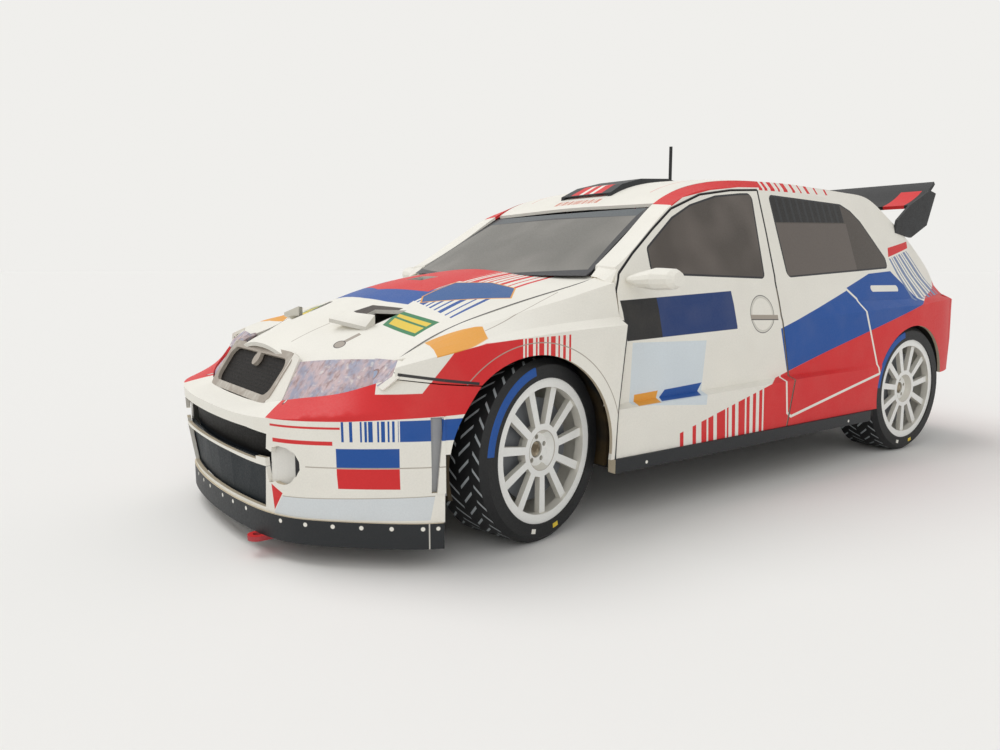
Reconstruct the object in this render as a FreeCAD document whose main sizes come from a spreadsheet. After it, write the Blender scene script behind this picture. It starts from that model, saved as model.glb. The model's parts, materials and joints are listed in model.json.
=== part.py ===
# Rally car: a 1:24 model built from folded and glued card, at its own size in millimetres.
# X runs forward, Y to the car's left and Z up. The origin is on the ground, under the middle.
import FreeCAD, Part
import math
import os
from types import SimpleNamespace

import Sketcher
from FreeCAD import Placement, Rotation, Vector

# Driving sizes: alias, value and what it measures. Angles are in degrees, the rest in millimetres.
SIZES = (
    ("length", 168.8, "bumper to bumper"),
    ("wheelbase", 102.6, "front axle to rear axle"),
    ("front_overhang", 36.6, "front axle to the nose"),
    ("half_width", 36.6, "middle to the widest panel"),
    ("sill_height", 8.4, "ground to the underside of the sills"),
    ("crease_height", 18.5, "ground to the step in the doors"),
    ("waist_height", 31.0, "ground to the fold of the flared wings"),
    ("belt_height", 38.0, "ground to the bottom of the side windows"),
    ("roof_height", 57.8, "ground to the top of the roof"),
    ("card", 0.6, "thickness of a card panel"),
    ("seam", 0.15, "open seam between two panels"),
    ("tyre_radius", 13.54, "axle to the tread"),
    ("tyre_width", 10.0, "across the tyre"),
    ("tyre_shoulder", 0.9, "rounding of the tread's edge"),
    ("wheel_inset", 1.0, "widest panel to the wheel's outer face"),
    ("bead_radius", 10.7, "axle to the tyre's inner edge"),
    ("rim_lip", 0.25, "how deep the rim sits in the tyre"),
    ("rim_wall", 0.7, "thickness of the rim's barrel"),
    ("rim_ring", 1.35, "width of the flat ring round the spokes"),
    ("spoke_thickness", 0.9, "thickness of the spoked disc"),
    ("spoke_depth", 0.55, "how far the spokes lie behind the rim's ring"),
    ("spoke_width", 1.3, "width of a spoke at the ring"),
    ("spoke_taper", 0.85, "width of a spoke at the hub, as a share of that"),
    ("spoke_count", 11, "spokes in a wheel"),
    ("hub_radius", 3.6, "radius of the wheel's middle"),
    ("hub_depth", 1.7, "length of the hub along the axle"),
    ("cup_radius", 2.95, "radius of the cup in the wheel's middle"),
    ("cup_floor", 2.45, "radius of the cup's floor"),
    ("cup_depth", 1.1, "depth of the cup"),
    ("stub_radius", 1.1, "radius of the stub axle"),
    ("stub_sink", 0.25, "stub axle's end below the cup's floor"),
    ("axle_play", 0.15, "running gap between stub axle and hub"),
    ("lug_circle", 1.85, "radius of the circle of wheel bolts"),
    ("lug_hole", 0.38, "radius of a bolt hole"),
    ("lug_count", 5, "bolt holes in a wheel"),
    ("disc_radius", 7.6, "radius of the brake disc"),
    ("disc_thickness", 0.6, "thickness of the brake disc"),
    ("steer_rest", 12.8, "front wheels turned to the car's left as it stands"),
    ("pin_radius", 0.8, "radius of the steering pin"),
    ("pin_play", 0.15, "running gap round the steering pin"),
    ("ear_reach", 1.3, "ears of the front axle beyond the steering pin"),
    ("knuckle_radius", 1.5, "radius of the knuckle's barrel"),
    ("knuckle_height", 6.0, "height of the knuckle between the ears"),
    ("ear_thickness", 1.2, "thickness of an ear of the front axle"),
    ("ear_gap", 0.2, "gap between knuckle and ear"),
    ("beam_height", 4.0, "height of the front axle's beam"),
    ("beam_depth", 3.6, "front axle's beam, front to back"),
    ("tube_radius", 2.0, "radius of the rear axle's tube"),
    ("arch_radius", 14.75, "radius of the front wheel opening"),
    ("arch_rise", -0.5, "centre of the front opening above the axle"),
    ("arch_lead", 1.4, "centre of the front opening ahead of the axle"),
    ("rear_arch_radius", 14.3, "radius of the rear wheel opening"),
    ("rear_arch_lag", 0.7, "centre of the rear opening behind the axle"),
    ("tub_radius", 15.3, "inside radius of a front wheel housing"),
    ("tub_depth", 14.9, "widest panel to the inside of a front housing"),
    ("tub_lead", 0.4, "centre of a front housing ahead of the axle"),
    ("rear_tub_radius", 14.8, "inside radius of a rear wheel housing"),
    ("rear_tub_depth", 12.0, "widest panel to the inside of a rear housing"),
    ("rear_bottom", 16.0, "ground to the bottom of the rear bumper"),
    ("lip_bottom", 2.9, "ground to the front lip"),
    ("lip_top", 6.4, "ground to the bottom of the front bumper"),
    ("lip_proud", 0.3, "front lip ahead of the bumper"),
    ("tongue_radius", 1.1, "radius of the blank disc on the grille"),
    ("pillar_sink", 2.2, "how far the windscreen pillar's foot reaches down to the front wing"),
    ("roof_lap", 1.2, "rear edge of the roof over the tailgate"),
    ("sill_strip", 2.2, "height of the black sill strip"),
    ("sill_width", 1.6, "sill strip, side to side"),
    ("antenna_radius", 0.35, "radius of the antenna"),
    ("antenna_height", 8.0, "antenna above the roof"),
    ("antenna_foot", 0.9, "radius of the antenna's foot"),
    ("mirror_reach", 4.6, "mirror beyond the widest panel"),
    ("wing_thickness", 0.8, "thickness of the rear wing"),
    ("wing_chord", 11.5, "rear wing, front to back"),
    ("wing_half_span", 27.4, "middle to the inside of a wing end plate"),
    ("wing_tilt", 16.0, "slope of the rear wing"),
    ("hook_reach", 3.2, "tow loop ahead of its root"),
    ("hook_width", 2.8, "tow loop, side to side"),
    ("hook_thickness", 0.7, "tow loop, top to bottom"),
    ("hook_hole", 0.65, "radius of the hole in the tow loop"),
    ("overrun", 4.0, "how far a cutting tool reaches past what it cuts"),
)

# Folds of the side, from the sill up to the edge of the roof. A station runs from -1 at the nose
# through 0 and 1 at the axles to 2 at the tail. Each fold has its share of the half width and its
# level, which counts the named heights: 1 sill, 2 crease, 3 waist, 4 belt, 5 roof.
SIDE_SHARES = (
    (0.110, ((0.989, 1.22), (0.981, 1.97), (0.940, 2.02), (0.937, 2.84), (0.915, 3.29), (0.874, 3.94),
             (0.852, 4.02), (0.776, 4.04))),
    (0.159, ((0.989, 1.22), (0.981, 1.97), (0.940, 2.02), (0.937, 2.85), (0.918, 3.30), (0.880, 4.00),
             (0.863, 4.06), (0.749, 4.07))),
    (0.217, ((0.989, 1.22), (0.981, 1.98), (0.940, 2.03), (0.934, 2.86), (0.918, 3.31), (0.883, 4.01),
             (0.839, 4.23), (0.708, 4.24))),
    (0.276, ((0.989, 1.22), (0.981, 1.99), (0.940, 2.04), (0.934, 2.86), (0.915, 3.33), (0.883, 4.01),
             (0.798, 4.44), (0.672, 4.44))),
    (0.334, ((0.989, 1.22), (0.981, 2.00), (0.940, 2.05), (0.934, 2.87), (0.915, 3.34), (0.883, 4.01),
             (0.762, 4.63), (0.645, 4.65))),
    (0.412, ((0.989, 1.22), (0.981, 2.02), (0.940, 2.06), (0.934, 2.89), (0.915, 3.36), (0.883, 4.01),
             (0.735, 4.77), (0.650, 4.82))),
    (0.510, ((0.989, 1.22), (0.984, 2.03), (0.943, 2.08), (0.934, 2.90), (0.915, 3.36), (0.883, 4.01),
             (0.721, 4.83), (0.678, 4.90))),
    (0.607, ((0.989, 1.22), (0.984, 2.05), (0.945, 2.10), (0.937, 2.92), (0.915, 3.36), (0.883, 4.01),
             (0.716, 4.85), (0.683, 4.92))),
    (0.705, ((0.989, 1.22), (0.984, 2.06), (0.954, 2.10), (0.945, 2.95), (0.918, 3.33), (0.880, 4.01),
             (0.716, 4.85), (0.686, 4.92))),
    (0.802, ((0.989, 1.22), (0.986, 2.06), (0.970, 2.11), (0.964, 2.99), (0.923, 3.30), (0.877, 4.01),
             (0.724, 4.80), (0.689, 4.90))),
    (0.900, ((0.989, 1.22), (0.989, 2.06), (0.984, 2.11), (0.981, 3.06), (0.929, 3.29), (0.872, 4.02),
             (0.754, 4.63), (0.697, 4.88))),
    (0.968, ((0.989, 1.22), (0.992, 2.06), (0.989, 2.11), (0.989, 3.09), (0.932, 3.29), (0.866, 4.02),
             (0.806, 4.33), (0.708, 4.83))),
    (1.091, ((0.989, 1.22), (0.989, 2.06), (0.989, 2.11), (0.989, 3.11), (0.926, 3.30), (0.861, 4.01),
             (0.836, 4.13), (0.732, 4.66))),
    (1.328, ((0.978, 1.22), (0.981, 2.06), (0.981, 2.11), (0.978, 3.17), (0.913, 3.33), (0.847, 3.94),
             (0.831, 4.05), (0.757, 4.43))),
    (1.530, ((0.954, 1.22), (0.959, 2.06), (0.959, 2.11), (0.956, 3.21), (0.891, 3.34), (0.825, 3.84),
             (0.811, 3.99), (0.762, 4.23))),
    (1.699, ((0.918, 1.22), (0.921, 2.06), (0.921, 2.11), (0.915, 3.23), (0.855, 3.34), (0.798, 3.70),
             (0.787, 3.80), (0.754, 4.07))),
    (1.818, ((0.869, 1.22), (0.874, 2.06), (0.874, 2.11), (0.869, 3.23), (0.820, 3.33), (0.770, 3.53),
             (0.760, 3.60), (0.738, 3.80))),
)

# Folds of a front wing, from its bottom edge over the flare to the bonnet.
FENDER_SHARES = (
    (0.185, ((0.992, 1.22), (0.995, 2.12), (0.995, 3.05), (0.934, 3.21), (0.882, 3.96), (0.780, 4.07))),
    (0.137, ((0.992, 1.22), (0.995, 2.12), (0.995, 3.03), (0.934, 3.19), (0.880, 3.84), (0.772, 3.94))),
    (0.091, ((0.992, 1.22), (0.997, 2.12), (0.997, 3.01), (0.937, 3.16), (0.872, 3.67), (0.765, 3.77))),
    (0.022, ((0.992, 1.22), (0.997, 2.12), (0.997, 2.98), (0.934, 3.09), (0.860, 3.44), (0.754, 3.53))),
    (-0.128, ((0.992, 1.22), (0.997, 2.12), (0.997, 2.94), (0.932, 3.00), (0.845, 3.21), (0.740, 3.27))),
    (-0.292, ((0.992, 1.22), (0.995, 2.12), (0.995, 2.90), (0.926, 2.94), (0.835, 3.00), (0.732, 3.00))),
    (-0.429, ((0.984, 1.22), (0.984, 2.12), (0.978, 2.83), (0.910, 2.87), (0.830, 2.87), (0.732, 2.82))),
    (-0.538, ((0.945, 1.22), (0.945, 2.12), (0.934, 2.75), (0.880, 2.78), (0.820, 2.77), (0.749, 2.70))),
    (-0.620, ((0.899, 1.22), (0.899, 2.12), (0.888, 2.67), (0.842, 2.70), (0.808, 2.67), (0.770, 2.62))),
)

# Joint between front wing and bumper, and the plan cut of the wing's tip along the headlamp.
JOINT_SHARES = ((-0.200, 2.44), (-0.279, 2.46), (-0.462, 2.52), (-0.607, 2.58), (-0.660, 2.60))
FENDER_TIP_SHARES = ((-0.740, 0.400), (-0.540, 0.868), (-0.600, 0.898), (-0.900, 0.898), (-0.900, 0.400))

# Crowned bonnet and roof: middle, half way out and edge, at each station.
BONNET_SHARES = (
    (0.169, ((0.000, 4.10), (0.383, 4.08), (0.776, 4.02))),
    (0.091, ((0.000, 4.06), (0.383, 4.02), (0.765, 3.77))),
    (0.022, ((0.000, 4.01), (0.383, 3.89), (0.754, 3.53))),
    (-0.128, ((0.000, 3.84), (0.383, 3.64), (0.740, 3.27))),
    (-0.292, ((0.000, 3.60), (0.383, 3.34), (0.732, 3.00))),
    (-0.429, ((0.000, 3.36), (0.383, 3.01), (0.727, 2.82))),
    (-0.566, ((0.000, 3.11), (0.383, 2.84), (0.721, 2.57))),
    (-0.702, ((0.000, 2.89), (0.383, 2.66), (0.716, 2.28))),
    (-0.811, ((0.000, 2.70), (0.383, 2.48), (0.710, 2.00))),
)
# Roof vent and its mouth: station, half width, foot and top.
ROOF_VENT_SHARES = (
    (0.386, 0.216, 4.682, 4.823),
    (0.423, 0.197, 4.758, 4.919),
    (0.480, 0.178, 4.859, 4.990),
    (0.567, 0.148, 4.929, 5.020),
    (0.602, 0.134, 4.939, 4.997),
)
VENT_MOUTH_SHARES = ((0.378, 0.191, 4.682, 4.795), (0.415, 0.172, 4.758, 4.874))
ROOF_SHARES = (
    (0.344, ((0.000, 4.68), (0.355, 4.67), (0.645, 4.66))),
    (0.412, ((0.000, 4.84), (0.355, 4.84), (0.650, 4.82))),
    (0.510, ((0.000, 4.96), (0.355, 4.95), (0.678, 4.90))),
    (0.607, ((0.000, 5.00), (0.355, 4.98), (0.683, 4.92))),
    (0.753, ((0.000, 4.99), (0.355, 4.98), (0.687, 4.91))),
    (0.900, ((0.000, 4.96), (0.355, 4.94), (0.697, 4.88))),
    (0.968, ((0.000, 4.93), (0.355, 4.91), (0.708, 4.83))),
    (1.091, ((0.000, 4.87), (0.355, 4.83), (0.732, 4.66))),
)

# Windscreen and tailgate as level plan curves: level, then station and width share from the
# left edge to the middle.
WINDSCREEN_SHARES = (
    (4.03, ((0.154, 0.749), (0.123, 0.50), (0.105, 0.0))),
    (4.34, ((0.248, 0.690), (0.228, 0.46), (0.217, 0.0))),
    (4.66, ((0.349, 0.623), (0.347, 0.42), (0.345, 0.0))),
)
TAILGATE_SHARES = (
    (3.37, ((1.825, 0.765), (1.890, 0.50), (1.920, 0.0))),
    (3.80, ((1.818, 0.738), (1.880, 0.48), (1.915, 0.0))),
    (4.07, ((1.699, 0.754), (1.795, 0.48), (1.845, 0.0))),
    (4.23, ((1.530, 0.762), (1.655, 0.48), (1.710, 0.0))),
    (4.43, ((1.328, 0.757), (1.480, 0.48), (1.545, 0.0))),
    (4.66, ((1.091, 0.732), (1.260, 0.46), (1.325, 0.0))),
    (4.83, ((0.968, 0.708), (1.060, 0.44), (1.115, 0.0))),
    (4.92, ((0.915, 0.700), (1.010, 0.44), (1.065, 0.0))),
)

# Bumpers: station, width share, outward direction in degrees from straight ahead, and the
# folded profile as shares of the overhang that it stands out and levels.
NOSE_SHARES = (
    (-0.279, 0.995, 90.0, ((0.000, 0.76), (0.002, 1.46), (0.000, 2.24), (-0.004, 2.66))),
    (-0.462, 0.981, 82.0, ((0.000, 0.76), (0.004, 1.46), (0.000, 2.25), (-0.007, 2.62))),
    (-0.607, 0.907, 64.0, ((-0.014, 0.76), (0.000, 1.46), (0.000, 2.22), (-0.028, 2.58))),
    (-0.773, 0.792, 52.0, ((-0.040, 0.76), (-0.008, 1.46), (0.000, 2.18), (-0.095, 2.40))),
    (-0.918, 0.628, 36.0, ((-0.045, 0.76), (-0.010, 1.46), (0.000, 2.14), (-0.140, 2.30))),
    (-0.986, 0.355, 12.0, ((-0.034, 0.76), (-0.010, 1.46), (0.000, 2.10), (-0.118, 2.19))),
    (-1.000, 0.000, 0.0, ((-0.025, 0.76), (-0.008, 1.46), (0.000, 2.09), (-0.112, 2.16))),
)
TAIL_SHARES = (
    (1.690, 0.919, 105.0, ((0.000, 1.75), (0.004, 2.40), (0.000, 3.22), (-0.060, 3.35))),
    (1.840, 0.850, 130.0, ((-0.010, 1.75), (0.004, 2.40), (0.000, 3.20), (-0.060, 3.35))),
    (1.930, 0.680, 152.0, ((-0.020, 1.70), (0.002, 2.40), (0.000, 3.19), (-0.050, 3.35))),
    (1.982, 0.350, 170.0, ((-0.025, 1.65), (0.000, 2.40), (0.000, 3.18), (-0.050, 3.35))),
    (2.000, 0.000, 180.0, ((-0.025, 1.65), (0.000, 2.40), (0.000, 3.18), (-0.050, 3.35))),
)

# Outlines in side view: station and level.
FRONT_DOOR_SHARES = ((0.137, 1.10), (0.144, 2.00), (0.162, 3.19), (0.166, 3.76), (0.178, 4.05),
                     (0.217, 4.21), (0.275, 4.415), (0.330, 4.595), (0.412, 4.740), (0.500, 4.805),
                     (0.580, 4.83), (0.573, 4.43), (0.562, 3.90), (0.565, 3.00), (0.589, 2.05),
                     (0.563, 1.10))
FRONT_WINDOW_SHARES = ((0.248, 4.04), (0.251, 4.26), (0.327, 4.525), (0.380, 4.645), (0.453, 4.742),
                       (0.526, 4.783), (0.560, 4.793), (0.534, 3.97))
REAR_WINDOW_SHARES = ((0.609, 4.793), (0.845, 4.752), (0.876, 4.69), (0.905, 4.58), (0.967, 4.19),
                      (0.966, 4.08), (0.601, 3.99))

# Return of a front wing at the door's edge, in side view.
FENDER_RETURN_SHARES = ((0.144, 2.01), (0.1599, 3.05))

MIRROR_FOLDS = 14

# Outlines seen from above: station and width share.
BONNET_FRONT_SHARES = ((-0.770, 0.0), (-0.765, 0.20), (-0.750, 0.375), (-0.640, 0.60), (-0.515, 0.765))
GRILLE_STRIP_SHARES = (
    ((-0.884, 0.345, 2.17), (-0.754, 0.355, 2.74)),
    ((-0.840, 0.421, 2.22), (-0.748, 0.384, 2.68)),
)
VENT_HOLE_SHARES = ((-0.497, 0.262), (-0.425, 0.378), (-0.279, 0.412), (-0.350, 0.262))
VENT_LIP_SHARES = (
    (0.252, (-0.560, 3.18), (-0.489, 3.32)),
    (0.386, (-0.459, 3.01), (-0.415, 3.26)),
)
HEADLIGHT_SHARES = (
    ((-0.838, 0.425, 2.23), (-0.745, 0.388, 2.64)),
    ((-0.775, 0.600, 2.30), (-0.665, 0.560, 2.70)),
    ((-0.615, 0.785, 2.40), (-0.515, 0.765, 2.72)),
)

# Outlines seen from behind: width share and level.
TAILGATE_GLASS_SHARES = ((0.600, 4.22), (0.560, 4.72), (-0.560, 4.72), (-0.600, 4.22))
TAIL_LIGHT_SHARES = ((0.560, 3.45), (0.780, 3.45), (0.790, 4.18), (0.640, 4.18))

# Rear wing end plate in side view: station and level.
WING_PLATE_SHARES = ((1.155, 4.475), (1.185, 4.62), (1.360, 4.80), (1.640, 4.985), (1.735, 4.955),
                     (1.625, 4.58), (1.400, 4.43))

doc = FreeCAD.newDocument("rally_car")
sheet = doc.addObject("Spreadsheet::Sheet", "Sizes")
for row, (alias, value, note) in enumerate(SIZES, start=1):
    sheet.set("A%d" % row, note)
    sheet.set("B%d" % row, str(value))
    sheet.setAlias("B%d" % row, alias)
doc.recompute()
car = SimpleNamespace(**{alias: float(sheet.get(alias)) for alias, value, note in SIZES})

nose_x = car.length / 2
front_axle_x = nose_x - car.front_overhang
rear_axle_x = front_axle_x - car.wheelbase
tail_x = -car.length / 2
wheel_y = car.half_width - car.wheel_inset - car.tyre_width / 2
HEIGHTS = (0.0, car.sill_height, car.crease_height, car.waist_height, car.belt_height, car.roof_height)

pieces = []


def along(station):
    """X of a station: -1 nose, 0 front axle, 1 rear axle, 2 tail."""
    if station < 0:
        return front_axle_x - station * car.front_overhang
    if station > 1:
        return rear_axle_x + (station - 1) * (tail_x - rear_axle_x)
    return front_axle_x - station * car.wheelbase


def out(share):
    return share * car.half_width


def rise(level):
    """Z of a level, between the named heights."""
    step = min(int(level), len(HEIGHTS) - 2)
    return HEIGHTS[step] + (level - step) * (HEIGHTS[step + 1] - HEIGHTS[step])


def keep(label, shape, placement=None):
    """Add a shape as a named sub-part of the document."""
    feature = doc.addObject("Part::Feature", label)
    feature.Label = label
    feature.Shape = shape
    if placement:
        feature.Placement = placement
    pieces.append(feature)
    return feature


def main_solid(shape):
    """The largest solid of a shape, without the offcuts."""
    return max(shape.Solids, key=lambda solid: solid.Volume)


def mirrored(shape):
    return shape.mirror(Vector(0, 0, 0), Vector(0, 1, 0))


def keep_pair(label, shape):
    """Add a left piece and its mirror image."""
    keep(label + "_left", shape)
    keep(label + "_right", mirrored(shape))


def inner_line(outline, wall):
    """The outline moved to its left by the wall, with mitred corners."""
    moved = []
    for i, point in enumerate(outline):
        before = outline[max(i - 1, 0)]
        after = outline[min(i + 1, len(outline) - 1)]
        here = []
        for start, end in ((before, point), (point, after)):
            run = math.hypot(end[0] - start[0], end[1] - start[1])
            if run > 0:
                here.append((-(end[1] - start[1]) / run, (end[0] - start[0]) / run))
        mean = [sum(n[k] for n in here) / len(here) for k in (0, 1)]
        square = mean[0] ** 2 + mean[1] ** 2
        moved.append((point[0] + wall * mean[0] / square, point[1] + wall * mean[1] / square))
    return moved


def line_edges(points, smooth):
    if smooth:
        curve = Part.BSplineCurve()
        curve.interpolate(points)
        return [curve.toShape()]
    return [Part.makeLine(a, b) for a, b in zip(points, points[1:])]


def card_section(outline, wall, place, smooth=False):
    """Closed section of a card panel: the outline, its inner line and the two ends."""
    outer = [place(a, b) for a, b in outline]
    inner = [place(a, b) for a, b in inner_line(outline, wall)]
    edges = line_edges(outer, smooth)
    edges.append(Part.makeLine(outer[-1], inner[-1]))
    edges += line_edges(inner[::-1], smooth)
    edges.append(Part.makeLine(inner[0], outer[0]))
    return Part.Wire(edges)


def loft(wires, ruled=False):
    solid = Part.makeLoft(wires, True, ruled)
    if solid.Volume < 0:
        solid.reverse()
    return solid


def across(station):
    x = along(station)
    return lambda y, z: Vector(x, y, z)


def level_plane(z):
    return lambda x, y: Vector(x, y, z)


def both_sides(half):
    """A run of points from the left edge to the middle, carried on to the right edge."""
    return list(half) + [(a, -b) for a, b in half[-2::-1]]


def outline_points(shares):
    return [(along(station), rise(level)) for station, level in shares]


def round_outline(points, radius, place):
    """Closed wire through the points with each corner rounded as far as its runs allow."""
    edges = []
    count = len(points)
    cuts = []
    for i, corner in enumerate(points):
        before = Vector(*points[i - 1], 0)
        here = Vector(*corner, 0)
        after = Vector(*points[(i + 1) % count], 0)
        back = before - here
        forth = after - here
        turn = back.getAngle(forth)
        reach = min(radius / math.tan(turn / 2), back.Length / 2.2, forth.Length / 2.2)
        start = here + back.normalize() * reach
        end = here + forth.normalize() * reach
        bow = here + (start + end - here * 2).normalize() * (
            reach / math.cos(turn / 2) - reach * math.tan(turn / 2))
        cuts.append((start, bow, end))
    for i, (start, bow, end) in enumerate(cuts):
        spots = [place(p.x, p.y) for p in (start, bow, end)]
        edges.append(Part.Arc(*spots).toShape())
        after = cuts[(i + 1) % count][0]
        edges.append(Part.makeLine(spots[2], place(after.x, after.y)))
    return Part.Wire(edges)


def side_prism(points, y_from, y_to, radius=0.0, grow=0.0):
    """Prism through a side view outline, between two distances from the middle."""
    place = lambda x, z: Vector(x, y_from, z)
    if radius:
        wire = round_outline(points, radius, place)
    else:
        wire = Part.makePolygon([place(*p) for p in points + points[:1]])
    if grow:
        wire = wire.makeOffset2D(grow)
    return Part.Face(wire).extrude(Vector(0, y_to - y_from, 0))


def box(x_span, y_span, z_span):
    low = Vector(min(x_span), min(y_span), min(z_span))
    high = Vector(max(x_span), max(y_span), max(z_span))
    return Part.makeBox(high.x - low.x, high.y - low.y, high.z - low.z, low)


def disc_along_y(radius, x, z, y_from, y_to):
    return Part.makeCylinder(radius, y_to - y_from, Vector(x, y_from, z), Vector(0, 1, 0))


def plan_prism(points, z_from, z_to):
    wire = Part.makePolygon([Vector(x, y, z_from) for x, y in points + points[:1]])
    return Part.Face(wire).extrude(Vector(0, 0, z_to - z_from))


def wrapped(rows, overhang, profile_of, wall):
    """A folded profile carried round the plan of a bumper."""
    sections = []
    stops = [(station, y, turn, profile) for station, y, turn, profile in rows]
    stops += [(station, -y, -turn, profile) for station, y, turn, profile in rows[-2::-1]]
    for station, y, turn, profile in stops:
        spot = Vector(along(station), out(y), 0)
        outward = Vector(math.cos(math.radians(turn)), math.sin(math.radians(turn)), 0)
        place = lambda stand, z, spot=spot, outward=outward: spot + outward * stand + Vector(0, 0, z)
        sections.append(card_section(profile_of(profile, overhang), wall, place))
    return loft(sections)


def nose_profile(profile, overhang):
    folds = [(share * overhang, rise(level)) for share, level in profile]
    return [(folds[0][0], car.lip_top)] + folds[1:]


def tail_profile(profile, overhang):
    folds = [(share * overhang, rise(level)) for share, level in profile]
    return [(folds[0][0], car.rear_bottom)] + folds[1:]


def lip_profile(profile, overhang):
    stand = profile[0][0] * overhang + car.lip_proud
    return [(stand, car.lip_bottom), (stand, car.lip_top)]


def mesh_profile(profile, overhang):
    back = -car.card * 3
    return [(profile[0][0] * overhang + back, car.lip_top), (profile[2][0] * overhang + back, rise(2.0))]


# Lines where the roof and the tailgate meet the side panels
def between_sides(folds, low, top, x_span):
    """Block along the car between the inner edges of the side panels, less two seams."""
    edge = [Vector(x_span[0], out(y) - car.seam * 2, rise(level)) for y, level in folds]
    corner = Vector(x_span[0], edge[0].y, low)
    peak = Vector(x_span[0], edge[-1].y, top)
    left = [Part.makeLine(corner, edge[0])] + line_edges(edge, True)
    left.append(Part.makeLine(edge[-1], peak))
    right = [line.mirror(Vector(0, 0, 0), Vector(0, 1, 0)) for line in left]
    across_top = Part.makeLine(peak, Vector(peak.x, -peak.y, top))
    across_foot = Part.makeLine(corner, Vector(corner.x, -corner.y, low))
    ring = Part.Wire(Part.__sortEdges__(left + right + [across_top, across_foot]))
    return Part.Face(ring).extrude(Vector(x_span[1] - x_span[0], 0, 0))


roof_edge = [Vector(along(row[0]), out(row[1][-1][0]) - car.seam * 2, rise(4)) for row in SIDE_SHARES[4:12]]
roof_edge[-1].x -= car.roof_lap
roof_rear = [Vector(along(station) - car.roof_lap, out(y), rise(4)) for station, y in TAILGATE_SHARES[-1][1][1:]]
roof_rear = roof_edge[-1:] + roof_rear
roof_rear += [Vector(p.x, -p.y, p.z) for p in roof_rear[-2::-1]]
roof_right = [Vector(p.x, -p.y, p.z) for p in roof_edge[::-1]]
roof_wire = Part.Wire(line_edges(roof_edge, True) + line_edges(roof_rear, True) + line_edges(roof_right, True)
                      + [Part.makeLine(roof_right[-1], roof_edge[0])])
roof_block = Part.Face(roof_wire).extrude(Vector(0, 0, rise(5)))
quarter_edge = [TAILGATE_SHARES[0][1][0][1:] + TAILGATE_SHARES[0][:1]]
quarter_edge += [row[1][-1] for row in SIDE_SHARES[:11:-1]]
tail_top = rise(TAILGATE_SHARES[-2][0]) - car.card - car.seam * 2
tail_block = between_sides(quarter_edge, rise(3), tail_top, (tail_x, along(1.03)))

# Side panels
side_skin = loft([
    card_section([(out(y), rise(level)) for y, level in folds], car.card, across(station))
    for station, folds in SIDE_SHARES])
far = car.half_width + car.overrun
arch_x = front_axle_x + car.arch_lead
arch_z = car.tyre_radius + car.arch_rise
rear_arch_x = rear_axle_x - car.rear_arch_lag
door_points = outline_points(FRONT_DOOR_SHARES)
front_window = outline_points(FRONT_WINDOW_SHARES)
rear_window = outline_points(REAR_WINDOW_SHARES)
window_round = car.card * 2
front_glass_tool = side_prism(front_window, out(0.5), far, window_round)
rear_glass_tool = side_prism(rear_window, out(0.5), far, window_round)
front_door = side_skin.common(side_prism(door_points, out(0.5), far, 0.0, -car.seam))
front_door = front_door.cut(front_glass_tool)
keep_pair("front_door", front_door)
keep_pair("front_window", side_skin.common(front_glass_tool))
keep_pair("rear_window", side_skin.common(rear_glass_tool))

rear_arch = disc_along_y(car.rear_arch_radius, rear_arch_x, arch_z, 0, far)
behind_arch = box((tail_x - car.overrun, rear_arch_x), (0, far), (0, car.rear_bottom))
corner_x = along(TAIL_SHARES[0][0])
corner_block = box((tail_x - car.overrun, corner_x), (0, far), (0, rise(TAIL_SHARES[0][3][3][1])))
door_front = outline_points(FRONT_DOOR_SHARES[:5])
ahead = [(along(-0.9), door_front[0][1] - car.overrun)]
fender_side = [(x + car.seam, z) for x, z in door_front]
fender_side[0] = (fender_side[0][0], fender_side[0][1] - car.overrun)
fender_side[-1] = (fender_side[-1][0], fender_side[-1][1] + car.overrun)
wing_region = side_prism(fender_side + [(along(-0.9), fender_side[-1][1]), ahead[0]], 0, far)
body_side = side_skin.cut(side_prism(door_points, out(0.5), far))
pillar_foot = fender_side[:-1] + [(fender_side[-1][0], fender_side[-1][1] - car.pillar_sink)]
pillar_region = side_prism(pillar_foot + [(along(-0.9), pillar_foot[-1][1]), ahead[0]], 0, far)
body_side = body_side.cut([rear_glass_tool, rear_arch, behind_arch, corner_block, pillar_region,
                           roof_block, tail_block])
rear_bumper = wrapped(TAIL_SHARES, car.length - car.wheelbase - car.front_overhang, tail_profile, car.card)
body_side = main_solid(main_solid(body_side).cut(rear_bumper))
rear_bumper = rear_bumper.cut(disc_along_y(car.tyre_radius + car.card, rear_axle_x, car.tyre_radius, -far, far))
keep("rear_bumper", rear_bumper)

# Front wings
fender_sections = [(station, [(out(y), rise(level)) for y, level in folds])
                   for station, folds in FENDER_SHARES]
fender = loft([card_section(folds, car.card, across(station)) for station, folds in fender_sections])
return_start = car.seam + car.card / 2
return_side = [(along(station) + return_start, rise(level)) for station, level in FENDER_RETURN_SHARES]
return_side += [(x + car.card, z) for x, z in return_side[::-1]]
fender_return = side_prism(return_side, out(0.925), out(0.995) - car.card / 2)
front_arch = disc_along_y(car.arch_radius, arch_x, arch_z, 0, far)
joint = outline_points(JOINT_SHARES)
below_joint = side_prism(joint + [(along(-0.9), 0), (joint[0][0], 0)], 0, far)
ahead_of_lamp = plan_prism([(along(station), out(y)) for station, y in FENDER_TIP_SHARES], 0, rise(5))
fender = fender.common(wing_region).fuse(fender_return).cut([front_arch, below_joint, ahead_of_lamp])
front_bumper = wrapped(NOSE_SHARES, car.front_overhang, nose_profile, car.card)
joint_side = [(x, z - car.seam) for x, z in joint[:-1]]
above_joint = side_prism(joint_side + [(joint_side[-1][0], rise(4)), (joint_side[0][0], rise(4))], out(0.85), far)
front_bumper = main_solid(front_bumper.cut([above_joint, mirrored(above_joint)]))
fender = main_solid(main_solid(fender).cut(front_bumper))
keep_pair("fender", fender)
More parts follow.
